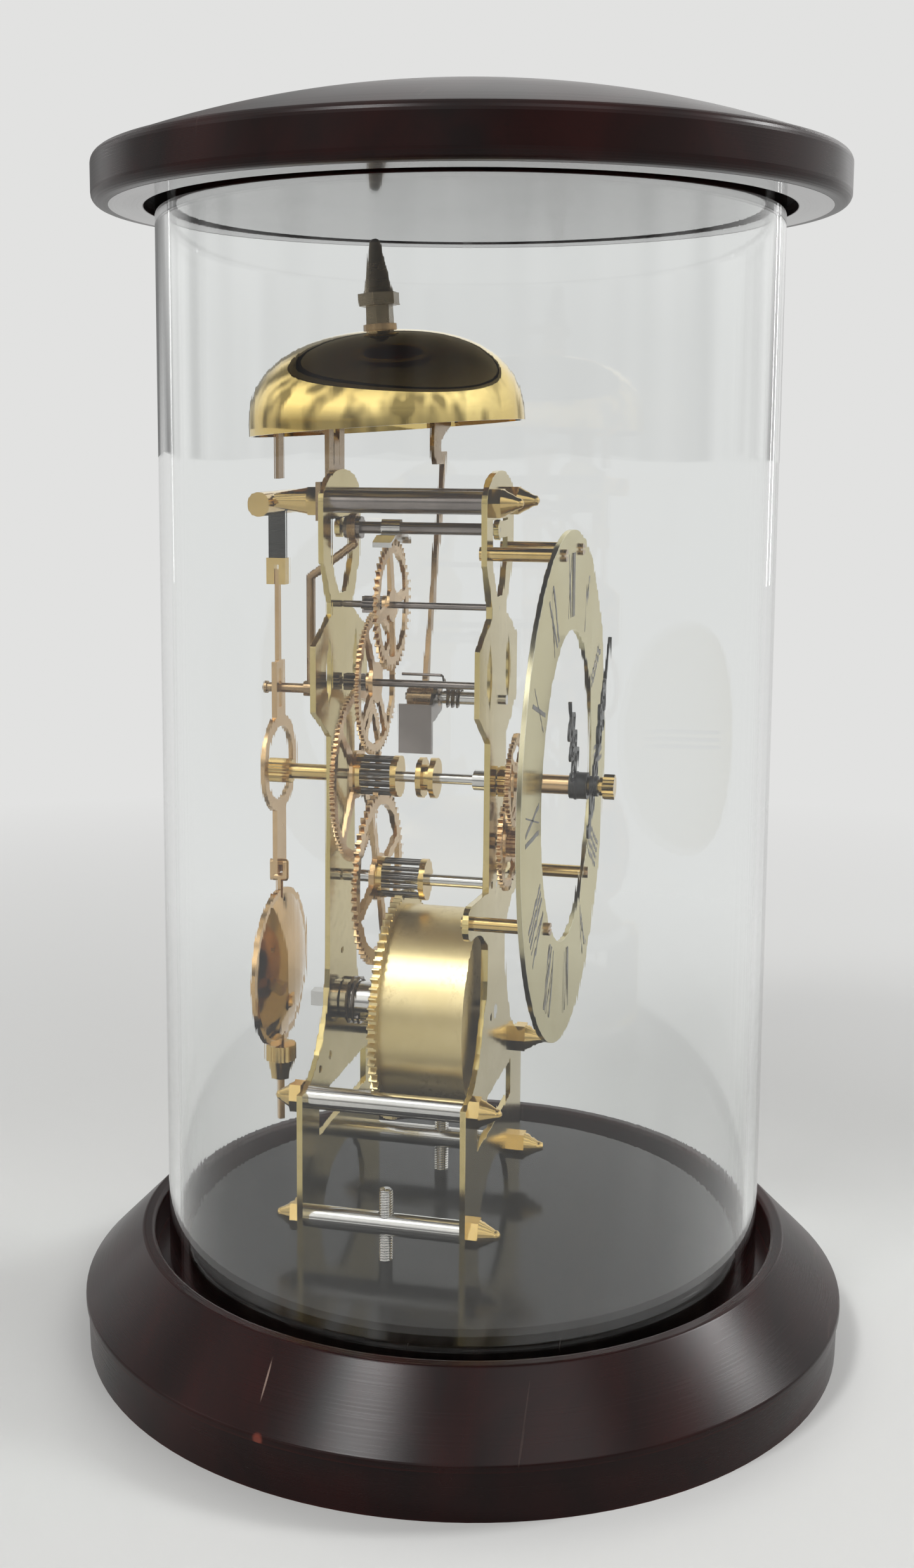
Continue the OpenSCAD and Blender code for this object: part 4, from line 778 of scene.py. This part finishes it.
makeRodThread(rodThread)
makeNumerals(numeralLook)
makeScrolls(scrollLooks)
print("bell, lid faces, threads, numerals and scrolls made")

# pale floor that runs into the pale room, which the eye, metal and glass all see
roomLook = {
    "floor": (0.64, 0.64, 0.63),
    "floorRough": 0.6,
    "floorAcross": 30.0,
    "fadeFrom": 0.22,
    "fadeTo": 0.75,
    "pale": 0.76,
    "ambient": 0.42,
    "nearSide": 0.30,
    "farSide": 0.74,
    "sideSpan": (-0.6, 0.6),
    "higher": 1.15,
    "uneven": (0.30, 1.2),
    "unevenScale": (3.2, 3.2, 1.8),
    "unevenCut": (0.38, 0.58),
    "white": (1.0, 1.0, 0.99, 1.0),
    "windowFoot": (0.05, 0.30),
    "windowHead": (0.45, 0.75),
    "overhead": 0.45,
    "windowSpan": (-0.2, 0.5),
    "windowFar": 0.2,
}


def seenRays(tree):
    # 1 for what the eye, a mirror or clear glass looks at, 0 for what only lights the object
    ray = addNode(tree, "ShaderNodeLightPath").outputs
    return plus(tree, plus(tree, ray["Is Camera Ray"], ray["Is Glossy Ray"]), ray["Is Transmission Ray"])


def makeFloor(look):
    half = look["floorAcross"] / 2
    mesh = bpy.data.meshes.new("studioFloor")
    corners = [(-half, -half, 0), (half, -half, 0), (half, half, 0), (-half, half, 0)]
    mesh.from_pydata(corners, [], [(0, 1, 2, 3)])
    floor = bpy.data.objects.new("studioFloor", mesh)
    scene.collection.objects.link(floor)
    material, tree, shader = startFinish("studioFloor")
    shader.inputs["Base Color"].default_value = (*look["floor"], 1.0)
    shader.inputs["Roughness"].default_value = look["floorRough"]
    away = addNode(tree, "ShaderNodeVectorMath", {0: rowPoint(tree)}, operation="LENGTH").outputs["Value"]
    far = remap(tree, away, look["fadeFrom"], look["fadeTo"])
    glow = addNode(tree, "ShaderNodeEmission", {"Color": look["white"], "Strength": look["pale"]})
    fade = times(tree, far, seenRays(tree))
    both = addNode(tree, "ShaderNodeMixShader", {0: fade, 1: shader.outputs[0], 2: glow.outputs[0]})
    tree.links.new(both.outputs[0], tree.nodes["Material Output"].inputs["Surface"])
    mesh.materials.append(material)


def makeRoom(look):
    world = bpy.data.worlds.new("paleRoom")
    scene.world = world
    world.use_nodes = True
    tree = world.node_tree
    tree.nodes.clear()
    mirrored = addNode(tree, "ShaderNodeLightPath").outputs["Glossy Depth"]
    toward = addNode(tree, "ShaderNodeTexCoord").outputs["Generated"]
    parts = addNode(tree, "ShaderNodeSeparateXYZ", {0: toward}).outputs
    level = remap(tree, parts["X"], *look["sideSpan"], look["nearSide"], look["farSide"])
    foot = remap(tree, parts["Z"], *look["windowFoot"])
    window = times(tree, foot, remap(tree, parts["Z"], *look["windowHead"], 1.0, look["overhead"]))
    window = times(tree, window, remap(tree, parts["X"], *look["windowSpan"], 1.0, look["windowFar"]))
    level = plus(tree, level, times(tree, window, look["higher"]))
    spread = addNode(tree, "ShaderNodeMapping", {"Vector": toward, "Scale": look["unevenScale"]}).outputs[0]
    patches = noise(tree, spread, 1.0, 1.0, 0.5)
    bands = times(tree, level, remap(tree, patches, *look["unevenCut"], *look["uneven"]))
    pale = addNode(tree, "ShaderNodeBackground", {"Color": look["white"], "Strength": look["pale"]})
    soft = addNode(tree, "ShaderNodeBackground", {"Color": look["white"], "Strength": bands})
    dim = addNode(tree, "ShaderNodeBackground", {"Color": look["white"], "Strength": look["ambient"]})
    looked = addNode(tree, "ShaderNodeMixShader", {0: mirrored, 1: pale.outputs[0], 2: soft.outputs[0]})
    whole = addNode(tree, "ShaderNodeMixShader", {0: seenRays(tree), 1: dim.outputs[0], 2: looked.outputs[0]})
    out = addNode(tree, "ShaderNodeOutputWorld")
    tree.links.new(whole.outputs[0], out.inputs["Surface"])


# soft lamps high up, and thin tall strips behind that draw lines down the glass
lampLooks = {
    "keyLamp": {"place": (-0.86, 0.42, 1.38), "size": (0.30, 0.30), "watts": 10.0},
    "fillLamp": {"place": (-0.85, -0.80, 1.35), "size": (0.8, 0.8), "watts": 3.5},
    "topLamp": {"place": (0.50, -1.20, 0.98), "size": (0.30, 0.36), "watts": 11.0},
    "rightStrip": {"place": (1.20, -0.48, 0.72), "size": (0.02, 1.4), "watts": 0.5},
    "rightThinStrip": {"place": (1.20, -0.60, 0.72), "size": (0.01, 1.4), "watts": 0.3},
    "leftStrip": {"place": (0.80, 1.30, 0.72), "size": (0.015, 1.4), "watts": 0.25},
}
lampAim = (0, 0, 0.15)


def makeLamps(looks):
    for name, look in looks.items():
        data = bpy.data.lights.new(name, "AREA")
        data.shape = "RECTANGLE"
        data.size, data.size_y = look["size"]
        data.energy = look["watts"]
        lamp = bpy.data.objects.new(name, data)
        scene.collection.objects.link(lamp)
        lamp.location = look["place"]
        lamp.rotation_euler = (Vector(lampAim) - Vector(look["place"])).to_track_quat("-Z", "Y").to_euler()
        lamp.visible_camera = False
        lamp.visible_transmission = False


makeFloor(roomLook)
makeRoom(roomLook)
makeLamps(lampLooks)
print("room and lamps made")
